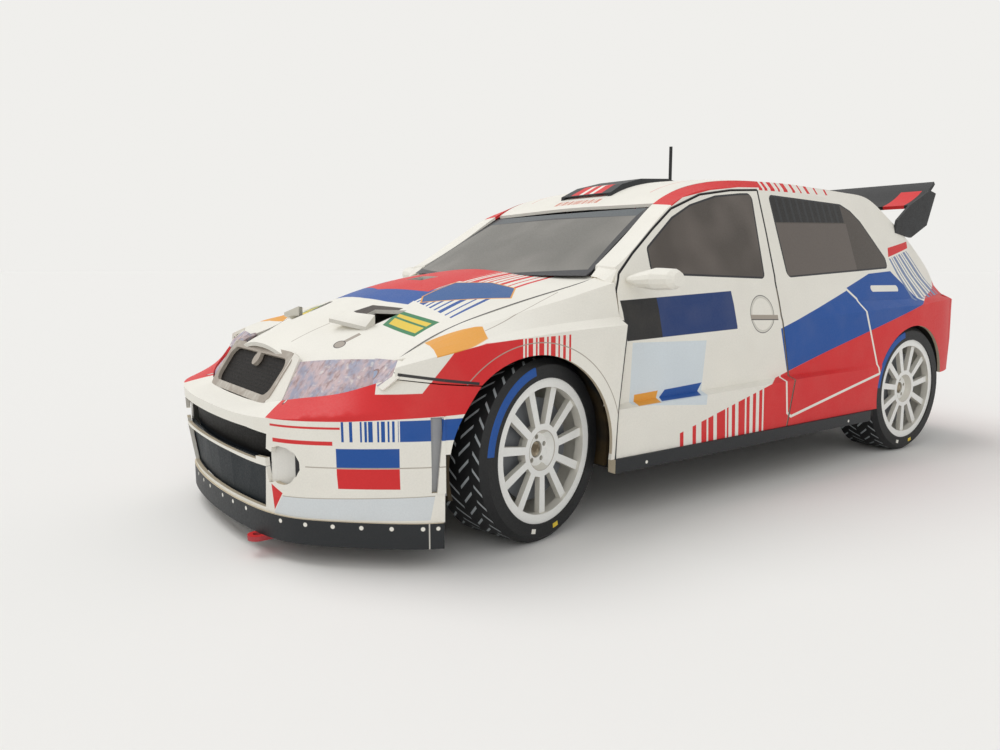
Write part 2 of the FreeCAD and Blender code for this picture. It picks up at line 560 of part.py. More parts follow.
body_side = main_solid(body_side.cut(fender))
keep_pair("body_side", body_side)

# Grille, leaning back between the headlights
grille_low = Vector(along(-0.885), 0, rise(2.17))
grille_top = Vector(along(-0.752), 0, rise(2.74))
grille_tilt = math.degrees(math.atan2(grille_low.x - grille_top.x, grille_top.z - grille_low.z))
grille_height = (grille_top - grille_low).Length
grille_place = Placement(grille_low, Rotation(Vector(0, 1, 0), -grille_tilt))


def grille_face(inset, x):
    low_half = out(0.355) - inset
    high_half = out(0.365) - inset
    points = [(-low_half, inset), (low_half, inset), (high_half, grille_height - inset),
              (-high_half, grille_height - inset)]
    return Part.Face(round_outline(points, car.card * 3, lambda y, z: Vector(x, y, z)))


frame_width = car.card * 2
outer = grille_face(0, 0).extrude(Vector(-car.card * 2, 0, 0))
hole = grille_face(frame_width, car.card).extrude(Vector(-car.card * 4, 0, 0))
tongue_z = grille_height - frame_width - car.tongue_radius
tongue = Part.makeCylinder(car.tongue_radius, car.card, Vector(-car.card, 0, tongue_z), Vector(1, 0, 0))
stem = box((-car.card, 0), (-car.tongue_radius * 0.7, car.tongue_radius * 0.7),
           (tongue_z, grille_height - frame_width / 2))
keep("grille_frame", outer.cut(hole).fuse([tongue, stem]), grille_place)
grille_block = outer.copy()
grille_block.Placement = grille_place
mesh_plate = grille_face(frame_width, -car.card).extrude(Vector(-car.card, 0, 0))
keep("grille_mesh", mesh_plate, grille_place)

# Bonnet and roof
def crowned(rows):
    sections = []
    for station, half in rows:
        left = [(out(y), rise(level)) for y, level in half[::-1]]
        whole = left + [(-y, z) for y, z in left[-2::-1]]
        sections.append(card_section(whole, car.card, across(station), smooth=True))
    return loft(sections)


front_edge = [(along(station), out(y)) for station, y in BONNET_FRONT_SHARES]
side_edge = [(along(row[0]), out(row[1][-1][0]) - car.seam) for row in BONNET_SHARES[4::-1]]
half_plan = front_edge + side_edge
bonnet_plan = half_plan + [(x, -y) for x, y in half_plan[::-1] if y > 0]
bonnet = crowned(BONNET_SHARES).common(plan_prism(bonnet_plan, rise(1), rise(5)))
roof = main_solid(crowned(ROOF_SHARES).common(roof_block))
keep("roof", roof)

# Windscreen and tailgate
def plan_curve_panel(rows):
    sections = []
    for level, half in rows:
        left = [(along(station), out(y)) for station, y in half]
        right = [(x, -y) for x, y in left[-2::-1]]
        sections.append((rise(level), left + right))
    return sections


def glass_line(line):
    return [(x, y) for x, y in line[::-1]]


windscreen_rows = plan_curve_panel(WINDSCREEN_SHARES)
windscreen = loft([card_section(glass_line(line), car.card, level_plane(z), smooth=True)
                   for z, line in windscreen_rows])
behind_glass = loft([card_section(glass_line(line), car.length / 4, level_plane(z), smooth=True)
                     for z, line in windscreen_rows])
behind_glass.translate(Vector(car.seam, 0, 0))


def vent_lip():
    """Raised lip ahead of an opening in the bonnet."""
    sections = []
    for share, front, top in VENT_LIP_SHARES:
        foot = rise(front[1]) - car.card
        points = [Vector(along(front[0]), out(share), foot), Vector(along(front[0]), out(share), rise(front[1])),
                  Vector(along(top[0]), out(share), rise(top[1])), Vector(along(top[0]), out(share), foot)]
        sections.append(Part.makePolygon(points + points[:1]))
    return loft(sections, ruled=True)


vent_hole = plan_prism([(along(station), out(y)) for station, y in VENT_HOLE_SHARES], rise(2), rise(4))
middle_hole = box((along(-0.012), along(0.03)), (-out(0.075), out(0.075)), (rise(3), rise(5)))
bonnet = main_solid(bonnet.cut([fender, mirrored(fender), behind_glass, grille_block,
                                vent_hole, mirrored(vent_hole), middle_hole]))
lip_piece = vent_lip()
bonnet = main_solid(bonnet.fuse([lip_piece, mirrored(lip_piece)]))
keep("bonnet", bonnet)
pillar_edge = [row[1][-1] for row in SIDE_SHARES[1:5]]
glass_top = rise(ROOF_SHARES[0][1][-1][1]) - car.card - car.seam
windscreen = windscreen.common(between_sides(pillar_edge, rise(3), glass_top, (along(0), along(0.5))))
keep("windscreen", windscreen)
tailgate = loft([card_section(line, car.card, level_plane(z), smooth=True)
                 for z, line in plan_curve_panel(TAILGATE_SHARES)])
tailgate = tailgate.common(tail_block)


def rear_prism(shares, radius):
    place = lambda y, z: Vector(tail_x - car.overrun, y, z)
    wire = round_outline([(out(y), rise(level)) for y, level in shares], radius, place)
    return Part.Face(wire).extrude(Vector(car.length / 2, 0, 0))


glass_tool = rear_prism(TAILGATE_GLASS_SHARES, window_round)
light_tool = rear_prism(TAIL_LIGHT_SHARES, window_round)
tail_lights = tailgate.common(light_tool)
keep_pair("tail_light", tail_lights)
keep("tailgate_glass", tailgate.common(glass_tool))
keep("tailgate", main_solid(tailgate.cut([glass_tool, light_tool, mirrored(light_tool)])))

# Front bumper, lip and air intakes
front_bumper = front_bumper.cut([front_arch, mirrored(front_arch)])
opening_half = out(0.464)
slot = box((along(-0.8), nose_x + car.overrun), (-opening_half, opening_half), (rise(1.55), rise(1.87)))
mouth = box((along(-0.8), nose_x + car.overrun), (-opening_half, opening_half), (car.lip_top + car.card,
                                                                               rise(1.43)))
duct_y = out(0.527)
duct_z = rise(1.50)
duct_radius = out(0.065)
duct = Part.makeCylinder(duct_radius, car.length / 4, Vector(along(-0.6), duct_y, duct_z), Vector(1, 0, 0))
duct = duct.fuse(Part.makeCylinder(duct_radius, car.length / 4,
                                   Vector(along(-0.6), duct_y + duct_radius, duct_z), Vector(1, 0, 0)))
duct = duct.cut(box((0, nose_x + car.overrun), (0, duct_y), (0, rise(3))))
slit = box((along(-0.500), along(-0.455)), (out(0.75), far), (rise(1.21), rise(2.17)))
front_bumper = front_bumper.cut([slot, mouth, duct, mirrored(duct), slit, mirrored(slit), grille_block])
front_bumper = main_solid(front_bumper)
keep("front_bumper", front_bumper)
lip = wrapped(NOSE_SHARES, car.front_overhang, lip_profile, car.card)
lip_back = along(-0.462)
front_lip = lip.common(box((lip_back, nose_x + car.overrun), (-far, far), (0, rise(2))))
front_lip = main_solid(front_lip.cut(front_bumper))
keep("front_lip", front_lip)
mesh = wrapped(NOSE_SHARES, car.front_overhang, mesh_profile, car.card)
keep("intake_mesh", mesh.common(box((along(-0.75), nose_x), (-out(0.6), out(0.6)), (0, rise(2)))))

# Headlights, and the white strips beside the grille
def raked_panel(rows):
    """Card panel leaning back, from a foot and a top point at each row."""
    sections = []
    for low, high in rows:
        foot = Vector(along(low[0]), out(low[1]), rise(low[2]))
        top = Vector(along(high[0]), out(high[1]), rise(high[2]))
        rake = (top - foot).normalize()
        inward = Vector(-rake.z, 0, rake.x).normalize() * car.card
        sections.append(Part.makePolygon([foot, top, top + inward, foot + inward, foot]))
    return loft(sections)


lamp = raked_panel(HEADLIGHT_SHARES)
keep_pair("headlight", main_solid(lamp.cut([fender, front_bumper, bonnet])))
strip = raked_panel(GRILLE_STRIP_SHARES)
keep_pair("grille_strip", main_solid(strip.cut([front_bumper, bonnet, grille_block, lamp])))

# Tow loop
hook_x = along(-0.995)
hook_y = out(0.43)
hook_z = car.lip_bottom - car.hook_thickness
hook = box((hook_x - car.hook_reach, hook_x - car.hook_width / 2),
           (hook_y - car.hook_width / 2, hook_y + car.hook_width / 2), (hook_z, car.lip_bottom))
hook_eye = Vector(hook_x - car.hook_width / 2, hook_y, hook_z)
hook = hook.fuse(Part.makeCylinder(car.hook_width / 2, car.hook_thickness, hook_eye))
keep("tow_hook", hook.cut(Part.makeCylinder(car.hook_hole, car.hook_thickness, hook_eye)))

# Underside: floor, wheel housings, axles and sills
tub_x = front_axle_x + car.tub_lead
tub_inner_y = car.half_width - car.tub_depth
rear_tub_inner_y = car.half_width - car.rear_tub_depth
tub_outer_y = out(0.972)
floor_top = car.sill_height + car.card
floor_z = (car.sill_height, floor_top)


def wheel_tub(x, radius, inner_y, outer_y):
    shell = disc_along_y(radius + car.card, x, arch_z, inner_y - car.card, outer_y)
    shell = shell.cut(disc_along_y(radius, x, arch_z, inner_y, outer_y + car.overrun))
    return shell.cut(box((x - radius * 2, x + radius * 2), (0, far), (-radius, floor_top)))


front_tub = wheel_tub(tub_x, car.tub_radius, tub_inner_y, tub_outer_y)
door_inner_y = out(0.912)
front_tub = front_tub.cut(box((along(0.3), along(0.13)), (door_inner_y, far), (0, rise(4))))
axle_hole = box((front_axle_x - car.beam_depth / 2 - car.seam, front_axle_x + car.beam_depth / 2 + car.seam),
                (0, far), (car.tyre_radius - car.beam_height / 2 - car.seam,
                           car.tyre_radius + car.beam_height / 2 + car.seam))
keep_pair("front_wheel_housing", front_tub.cut(axle_hole))
rear_tub = wheel_tub(rear_arch_x, car.rear_tub_radius, rear_tub_inner_y, tub_outer_y)
rear_hole = disc_along_y(car.tube_radius + car.seam, rear_axle_x, car.tyre_radius, 0, far)
below_tail = box((tail_x, rear_arch_x), (0, far), (0, car.rear_bottom))
keep_pair("rear_wheel_housing", main_solid(rear_tub.cut([rear_hole, body_side, below_tail])))

floor_side = [(along(1.85), car.rear_bottom), (rear_arch_x - car.rear_arch_radius, car.sill_height),
              (along(-0.62), car.sill_height)]
floor_half = out(0.955)
floor = Part.Face(card_section(floor_side, car.card, lambda x, z: Vector(x, -floor_half, z)))
floor = floor.extrude(Vector(0, floor_half * 2, 0))
tub_reach = car.tub_radius + car.card
rear_tub_reach = car.rear_tub_radius + car.card
for side in (-1, 1):
    floor = floor.cut(box((tub_x - tub_reach, tub_x + tub_reach),
                          (side * (tub_inner_y - car.card), side * far), floor_z))
    floor = floor.cut(box((rear_arch_x + rear_tub_reach, tail_x - car.overrun),
                          (side * (rear_tub_inner_y - car.card), side * far),
                          (0, rise(3))))
    floor = floor.cut(box((tub_x + tub_reach, nose_x), (side * out(0.84), side * far), floor_z))
keep("floor", main_solid(floor.cut(rear_bumper)))

sill = box((along(0.135), along(0.842)), (out(1) - car.sill_width, out(1)),
           (car.sill_height, car.sill_height + car.sill_strip))
keep_pair("sill", sill)

beam_end = wheel_y - car.knuckle_radius - car.seam * 3
ear_z = car.knuckle_height / 2 + car.ear_gap
beam = box((front_axle_x - car.beam_depth / 2, front_axle_x + car.beam_depth / 2), (-beam_end, beam_end),
           (car.tyre_radius - car.beam_height / 2, car.tyre_radius + car.beam_height / 2))
for side in (-1, 1):
    for z in (car.tyre_radius - ear_z - car.ear_thickness, car.tyre_radius + ear_z):
        ear = box((front_axle_x - car.beam_depth / 2, front_axle_x + car.beam_depth / 2),
                  (side * (beam_end - car.card * 2), side * (wheel_y + car.ear_reach)),
                  (z, z + car.ear_thickness))
        ear = ear.cut(Part.makeCylinder(car.pin_radius + car.pin_play, car.ear_thickness,
                                        Vector(front_axle_x, side * wheel_y, z)))
        beam = beam.fuse(ear)
    post = box((front_axle_x - car.beam_depth / 2, front_axle_x + car.beam_depth / 2),
               (side * (beam_end - car.card * 2), side * beam_end),
               (car.tyre_radius - ear_z - car.ear_thickness, car.tyre_radius + ear_z + car.ear_thickness))
    beam = beam.fuse(post)
keep("front_axle", beam.removeSplitter())

stub_end = wheel_y + car.tyre_width / 2 - car.rim_lip - car.spoke_depth - car.cup_depth - car.stub_sink
tube_end = rear_tub_inner_y + car.seam
rear_axle = disc_along_y(car.tube_radius, rear_axle_x, car.tyre_radius, -tube_end, tube_end)
rear_axle = rear_axle.fuse(disc_along_y(car.stub_radius, rear_axle_x, car.tyre_radius, -stub_end, stub_end))
keep("rear_axle", rear_axle)

# Steering knuckles, made straight ahead at the wheel's centre and turned to rest
def turned(side):
    centre = Vector(front_axle_x, side * wheel_y, car.tyre_radius)
    return Placement(centre, Rotation(Vector(0, 0, 1), car.steer_rest))


def standing(side):
    return Placement(Vector(rear_axle_x, side * wheel_y, car.tyre_radius), Rotation())


for name, side in (("left", 1), ("right", -1)):
    barrel = Part.makeCylinder(car.knuckle_radius, car.knuckle_height, Vector(0, 0, -car.knuckle_height / 2))
    pin_half = ear_z + car.ear_thickness
    pin = Part.makeCylinder(car.pin_radius, pin_half * 2, Vector(0, 0, -pin_half))
    stub = Part.makeCylinder(car.stub_radius, stub_end - wheel_y, Vector(0, 0, 0), Vector(0, side, 0))
    keep("knuckle_" + name, barrel.fuse([pin, stub]), turned(side))


# Wheels: turned about the axle, which is Y, with the outer face towards +Y
def plane_of(body, role):
    return next(f for f in body.Origin.OriginFeatures if f.Role == role)


def new_body(label):
    body = doc.addObject("PartDesign::Body", label)
    body.Label = label
    pieces.append(body)
    return body


def new_sketch(body, role, name):
    sketch = body.newObject("Sketcher::SketchObject", name)
    sketch.AttachmentSupport = [(plane_of(body, role), "")]
    sketch.MapMode = "FlatFace"
    return sketch


def draw_closed(sketch, points):
    """Closed run of straight lines with its corners tied together."""
    first = sketch.GeometryCount
    count = len(points)
    for i, point in enumerate(points):
        after = points[(i + 1) % count]
        sketch.addGeometry(Part.LineSegment(Vector(*point, 0), Vector(*after, 0)), False)
    for i in range(count):
        sketch.addConstraint(Sketcher.Constraint("Coincident", first + i, 2, first + (i + 1) % count, 1))


def revolve(body, sketch, name):
    feature = body.newObject("PartDesign::Revolution", name)
    feature.Profile = sketch
    feature.ReferenceAxis = (sketch, ["H_Axis"])
    feature.Angle = 360
    return feature


def tyre(label, place):
    """Tyre as a revolved section: sketch X is the axle, sketch Y the radius."""
    body = new_body(label)
    half = car.tyre_width / 2
    tread = half - car.tyre_shoulder
    wall_top = car.tyre_radius - car.tyre_shoulder
    section = new_sketch(body, "YZ_Plane", label + "_section")
    draw_closed(section, [(-half, car.bead_radius), (half, car.bead_radius), (half, wall_top),
                          (tread, car.tyre_radius), (-tread, car.tyre_radius), (-half, wall_top)])
    revolve(body, section, label + "_turned")
    body.Placement = place


def ring_pad(body, name, start, thickness, radii):
    """Disc or ring padded along the axle from a start distance."""
    sketch = new_sketch(body, "XZ_Plane", name + "_ring")
    sketch.AttachmentOffset = Placement(Vector(0, 0, -start), Rotation())
    for radius in radii:
        sketch.addGeometry(Part.Circle(Vector(0, 0, 0), Vector(0, 0, 1), radius), False)
    pad = body.newObject("PartDesign::Pad", name)
    pad.Profile = sketch
    pad.Length = thickness
    pad.Reversed = True
    return pad


def pattern_of_holes(body, sketch, name, count):
    """Pocket through the body, repeated round the axle."""
    pocket = body.newObject("PartDesign::Pocket", name + "_first")
    pocket.Profile = sketch
    pocket.Type = 1
    pocket.Midplane = True
    pattern = body.newObject("PartDesign::PolarPattern", name)
    pattern.Originals = [pocket]
    pattern.Axis = (sketch, ["N_Axis"])
    pattern.Angle = 360
    pattern.setExpression("Occurrences", count)
    return pattern


def rim(label, place):
    """Rim: a barrel, a spoked disc cut from a plate and a hub round the stub axle."""
    body = new_body(label)
    face = car.tyre_width / 2 - car.rim_lip
    tread_in = -car.tyre_width / 2 + car.rim_lip
    back = face - car.spoke_depth
    plate = back - car.spoke_thickness
    barrel_out = car.bead_radius
    ring_in = barrel_out - car.rim_ring
    barrel_in = barrel_out - car.rim_wall
    bore = car.stub_radius + car.axle_play
    hub_in = back - car.hub_depth
    section = new_sketch(body, "YZ_Plane", label + "_section")
    cup = back - car.cup_depth
    half_section = [(tread_in, barrel_in), (tread_in, barrel_out), (face, barrel_out), (face, ring_in),
                    (back, ring_in), (back, car.cup_radius), (cup, car.cup_floor), (cup, bore),
                    (hub_in, bore), (hub_in, car.hub_radius), (plate, car.hub_radius), (plate, barrel_in)]
    draw_closed(section, half_section)
    revolve(body, section, label + "_turned")
    window = new_sketch(body, "XZ_Plane", label + "_window")
    pitch = math.pi / car.spoke_count
    inner = car.hub_radius + car.rim_wall / 2
    half_out = pitch - math.asin(car.spoke_width / 2 / ring_in)
    half_in = pitch - math.asin(car.spoke_width * car.spoke_taper / 2 / inner)
    corners = []
    for radius, half in ((ring_in, half_out), (inner, half_in)):
        for sign in (-1, 1):
            corners.append((radius * math.sin(sign * half), radius * math.cos(half)))
    a, b, c, d = corners
    window.addGeometry(Part.Arc(Vector(*a, 0), Vector(0, ring_in, 0), Vector(*b, 0)), False)
    window.addGeometry(Part.LineSegment(Vector(*b, 0), Vector(*d, 0)), False)
    window.addGeometry(Part.LineSegment(Vector(*d, 0), Vector(*c, 0)), False)
    window.addGeometry(Part.LineSegment(Vector(*c, 0), Vector(*a, 0)), False)
    body.Tip = pattern_of_holes(body, window, label + "_spokes", "Sizes.spoke_count")
    bolt = new_sketch(body, "XZ_Plane", label + "_bolt")
    bolt.addGeometry(Part.Circle(Vector(0, car.lug_circle, 0), Vector(0, 0, 1), car.lug_hole), False)
    body.Tip = pattern_of_holes(body, bolt, label + "_bolts", "Sizes.lug_count")
    body.Placement = place


def brake_disc(label, place):
    """Plain brake disc behind the spokes."""
    body = new_body(label)
    start = car.tyre_width / 2 - car.rim_lip - car.spoke_depth - car.hub_depth
    pad = ring_pad(body, label + "_plate", start - car.disc_thickness, car.disc_thickness,
                   (car.disc_radius, car.stub_radius + car.axle_play))
    pad.setExpression("Length", "Sizes.disc_thickness")
    body.Placement = place


for name, side in (("left", 1), ("right", -1)):
    outward = Rotation() if side > 0 else Rotation(Vector(0, 0, 1), 180)
    for axle, place in (("front", turned(side)), ("rear", standing(side))):
        wheel_place = Placement(place.Base, place.Rotation * outward)
        tyre("%s_tyre_%s" % (axle, name), wheel_place)
        rim("%s_rim_%s" % (axle, name), wheel_place)
        brake_disc("%s_brake_disc_%s" % (axle, name), wheel_place)

# Roof vent, antenna, mirrors and rear wing
def vent_section(station, half, low, high):
    y = out(half)
    points = [Vector(along(station), a, rise(b)) for a, b in
              ((y, low), (y * 0.93, high), (-y * 0.93, high), (-y, low))]
    return Part.makePolygon(points + points[:1])


vent_solid = loft([vent_section(*row) for row in ROOF_VENT_SHARES], ruled=True)
vent_mouth = loft([vent_section(*row) for row in VENT_MOUTH_SHARES], ruled=True)
vent_parts = vent_solid.cut([vent_mouth, crowned(ROOF_SHARES)]).Solids
keep("roof_vent", max(vent_parts, key=lambda solid: solid.BoundBox.ZMax))

antenna_x = along(0.627)
antenna_foot = Part.makeCylinder(car.antenna_foot, car.card, Vector(antenna_x, 0, rise(5)))
antenna = Part.makeCylinder(car.antenna_radius, car.antenna_height, Vector(antenna_x, 0, rise(5)))
keep("antenna", antenna.fuse(antenna_foot).cut(roof))


def mirror_section(y, x_middle, z_middle, x_half, z_half):
    """One rounded ring of the mirror's folded shell."""
    points = []
    for i in range(MIRROR_FOLDS):
        turn = 2 * math.pi * i / MIRROR_FOLDS
        points.append(Vector(x_middle + x_half * math.cos(turn), y, z_middle + z_half * math.sin(turn)))
    return Part.makePolygon(points + points[:1])


mirror_x = along(0.195)
mirror_z = rise(4.0)
mirror_y = out(0.895)
reach = car.half_width + car.mirror_reach - mirror_y
mirror_rows = ((0.0, 0.0, 0.0, 0.9, 0.6), (0.25, 0.02, 0.0, 1.6, 1.2), (0.6, 0.1, 0.02, 2.2, 1.75),
               (0.9, 0.2, 0.02, 1.9, 1.6), (1.0, 0.22, 0.02, 1.2, 1.1))
mirror = loft([mirror_section(mirror_y + share * reach, mirror_x - back * reach, mirror_z + up * reach,
                              half_x, half_z) for share, back, up, half_x, half_z in mirror_rows],
              ruled=True)
keep_pair("mirror", mirror)

plate_points = outline_points(WING_PLATE_SHARES)
plate = side_prism(plate_points, car.wing_half_span, car.wing_half_span + car.card)
keep_pair("wing_plate", main_solid(plate.cut([body_side, tailgate])))
wing_x = along(1.385)
wing_z = rise(4.80)
blade_line = [(0, 0), (-car.wing_chord * 0.3, car.wing_chord * 0.02), (-car.wing_chord * 0.65, car.wing_chord * 0.09),
              (-car.wing_chord, car.wing_chord * 0.24)]
blade = Part.Face(card_section(blade_line, car.wing_thickness,
                               lambda x, z: Vector(x, -car.wing_half_span, z), smooth=True))
blade = blade.extrude(Vector(0, car.wing_half_span * 2, 0))
keep("wing_blade", blade, Placement(Vector(wing_x, 0, wing_z), Rotation(Vector(0, 1, 0), car.wing_tilt)))

doc.recompute()
for thing in doc.Objects:
    if "Invalid" in thing.State or "Error" in thing.State:
        raise RuntimeError("failed: " + thing.Label)
os.makedirs("parts", exist_ok=True)
for piece in pieces:
    shape = piece.Shape
    if shape.isNull() or not shape.isValid() or not shape.Solids:
        raise RuntimeError("bad shape: " + piece.Label)
    print("%-24s %2d solids %9.1f mm3" % (piece.Label, len(shape.Solids), shape.Volume))
    shape.exportStep("parts/%s.step" % piece.Label)
print(len(pieces), "sub-parts")
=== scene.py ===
"""Looks of the printed card rally car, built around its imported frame.

Lengths on the print charts are millimetres of the model itself; objects are in metres.
"""

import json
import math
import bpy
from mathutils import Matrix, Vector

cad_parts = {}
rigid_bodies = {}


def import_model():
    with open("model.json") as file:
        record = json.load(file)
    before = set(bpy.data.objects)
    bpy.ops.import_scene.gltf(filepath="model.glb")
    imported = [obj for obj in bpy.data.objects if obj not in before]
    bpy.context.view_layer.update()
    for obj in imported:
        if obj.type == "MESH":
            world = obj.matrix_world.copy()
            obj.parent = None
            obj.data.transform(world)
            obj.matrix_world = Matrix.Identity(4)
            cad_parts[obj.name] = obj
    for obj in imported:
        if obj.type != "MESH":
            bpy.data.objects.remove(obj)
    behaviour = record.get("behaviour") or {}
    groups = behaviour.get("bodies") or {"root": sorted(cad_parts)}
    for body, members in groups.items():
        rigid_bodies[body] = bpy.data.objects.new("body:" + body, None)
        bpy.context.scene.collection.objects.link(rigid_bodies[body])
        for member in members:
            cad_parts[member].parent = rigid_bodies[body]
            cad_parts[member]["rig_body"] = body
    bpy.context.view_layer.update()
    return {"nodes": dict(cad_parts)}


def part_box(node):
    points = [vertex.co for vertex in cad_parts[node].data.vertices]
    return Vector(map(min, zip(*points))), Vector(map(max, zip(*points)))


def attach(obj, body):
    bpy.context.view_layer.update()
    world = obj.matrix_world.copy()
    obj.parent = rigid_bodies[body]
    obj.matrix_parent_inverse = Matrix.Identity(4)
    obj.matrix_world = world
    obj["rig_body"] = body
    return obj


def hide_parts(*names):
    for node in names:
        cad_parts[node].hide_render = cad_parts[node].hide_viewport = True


bl_info = {
    "name": "Card rally car",
    "version": (1, 0, 0),
    "blender": (4, 5, 0),
    "location": "3D View > Sidebar > Card car",
    "description": "Prints, cuts and lights a small rally car of folded card",
    "category": "Object",
}

import bmesh
import bpy
from mathutils import Vector

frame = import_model()

MM = 0.001
PER_METRE = 1000.0
SIDES = ("left", "right")
MATH = "ShaderNodeMath"
VECTOR = "ShaderNodeVectorMath"

# Inks and bare card, as sRGB.
HEX = {
    "white": "F1EEE4",
    "shade_white": "D9D6CC",
    "core": "C9BCA4",
    "red": "DA2528",
    "dull_red": "B23A40",
    "blue": "0F4F9E",
    "deep_blue": "15366F",
    "plate_blue": "2A5A96",
    "grey_blue": "7E8FB0",
    "black": "141518",
    "soft_black": "1F2225",
    "line": "26262A",
    "pale_blue": "DBE4E9",
    "orange": "E9A23A",
    "yellow": "E8C83A",
    "green": "1F7A4A",
    "window": "4C453F",
    "window_light": "625A54",
    "slate": "23272C",
    "screen": "6C6A64",
    "screen_light": "807D77",
    "grille": "A99F93",
    "mesh": "1A1411",
    "mesh_line": "0A0807",
    "lamp_blue": "8F9BB5",
    "lamp_brown": "8C6C66",
    "lamp_pink": "C9B4B6",
    "pocket": "332922",
    "strip": "DCE1E3",
    "intake": "1D2429",
    "band": "4E5559",
    "salmon": "D9937F",
    "rear_inner": "2A2826",
    "rim": "F0F0EC",
    "duct": "E8E6DF",
    "liner": "A3A4A6",
    "tyre": "121315",
    "tread": "A7ADB0",
    "disc": "6D7074",
    "inner": "4A3D28",
    "axle": "6B5E4A",
    "tail": "A31218",
    "floor": "F2F1EE",
}

# How far the front wheels are turned at rest.
STEER = math.radians(12.8)
WHEEL_RADIUS = 13.54
# The printed tread: rows of slanting dashes, two ways by turns.
TREAD_PITCH = 2.36
TREAD_ROW = 2.5
TREAD_DASH = 0.486
TREAD_HALF_WIDTH = 4.1
# Added to the row's number and to the way round, so that neither is negative.
ROWS_ASIDE = 50.0
AROUND_ASIDE = 100.0

# Thickness of the card that closes gaps.
LINER_CARD = 0.3
PLATE_CARD = 0.5
CORNER_CARD = 0.2
# Card bent by more than this shows a crease.
FOLD = math.radians(22)


def linear(code):
    """The linear colour of an sRGB hex value."""
    parts = [int(code[i:i + 2], 16) / 255 for i in (0, 2, 4)]
    return tuple(p / 12.92 if p <= 0.04045 else ((p + 0.055) / 1.055) ** 2.4 for p in parts)


def rgba(name):
    """An ink's colour with full cover; the panel's colours come before the list's."""
    chosen = getattr(bpy.context.scene.card_colours, name, None)
    return (*(linear(HEX[name]) if chosen is None else chosen), 1.0)


def add(tree, kind, inputs=None, **settings):
    """Adds a node with its settings; an input is a node, one of its sockets, or a constant."""
    node = tree.nodes.new(kind)
    for name, value in settings.items():
        setattr(node, name, value)
    for key, value in (inputs or {}).items():
        if isinstance(value, bpy.types.Node):
            value = next(out for out in value.outputs if out.enabled)
        if isinstance(value, bpy.types.NodeSocket):
            tree.links.new(value, node.inputs[key])
        else:
            node.inputs[key].default_value = value
    return node


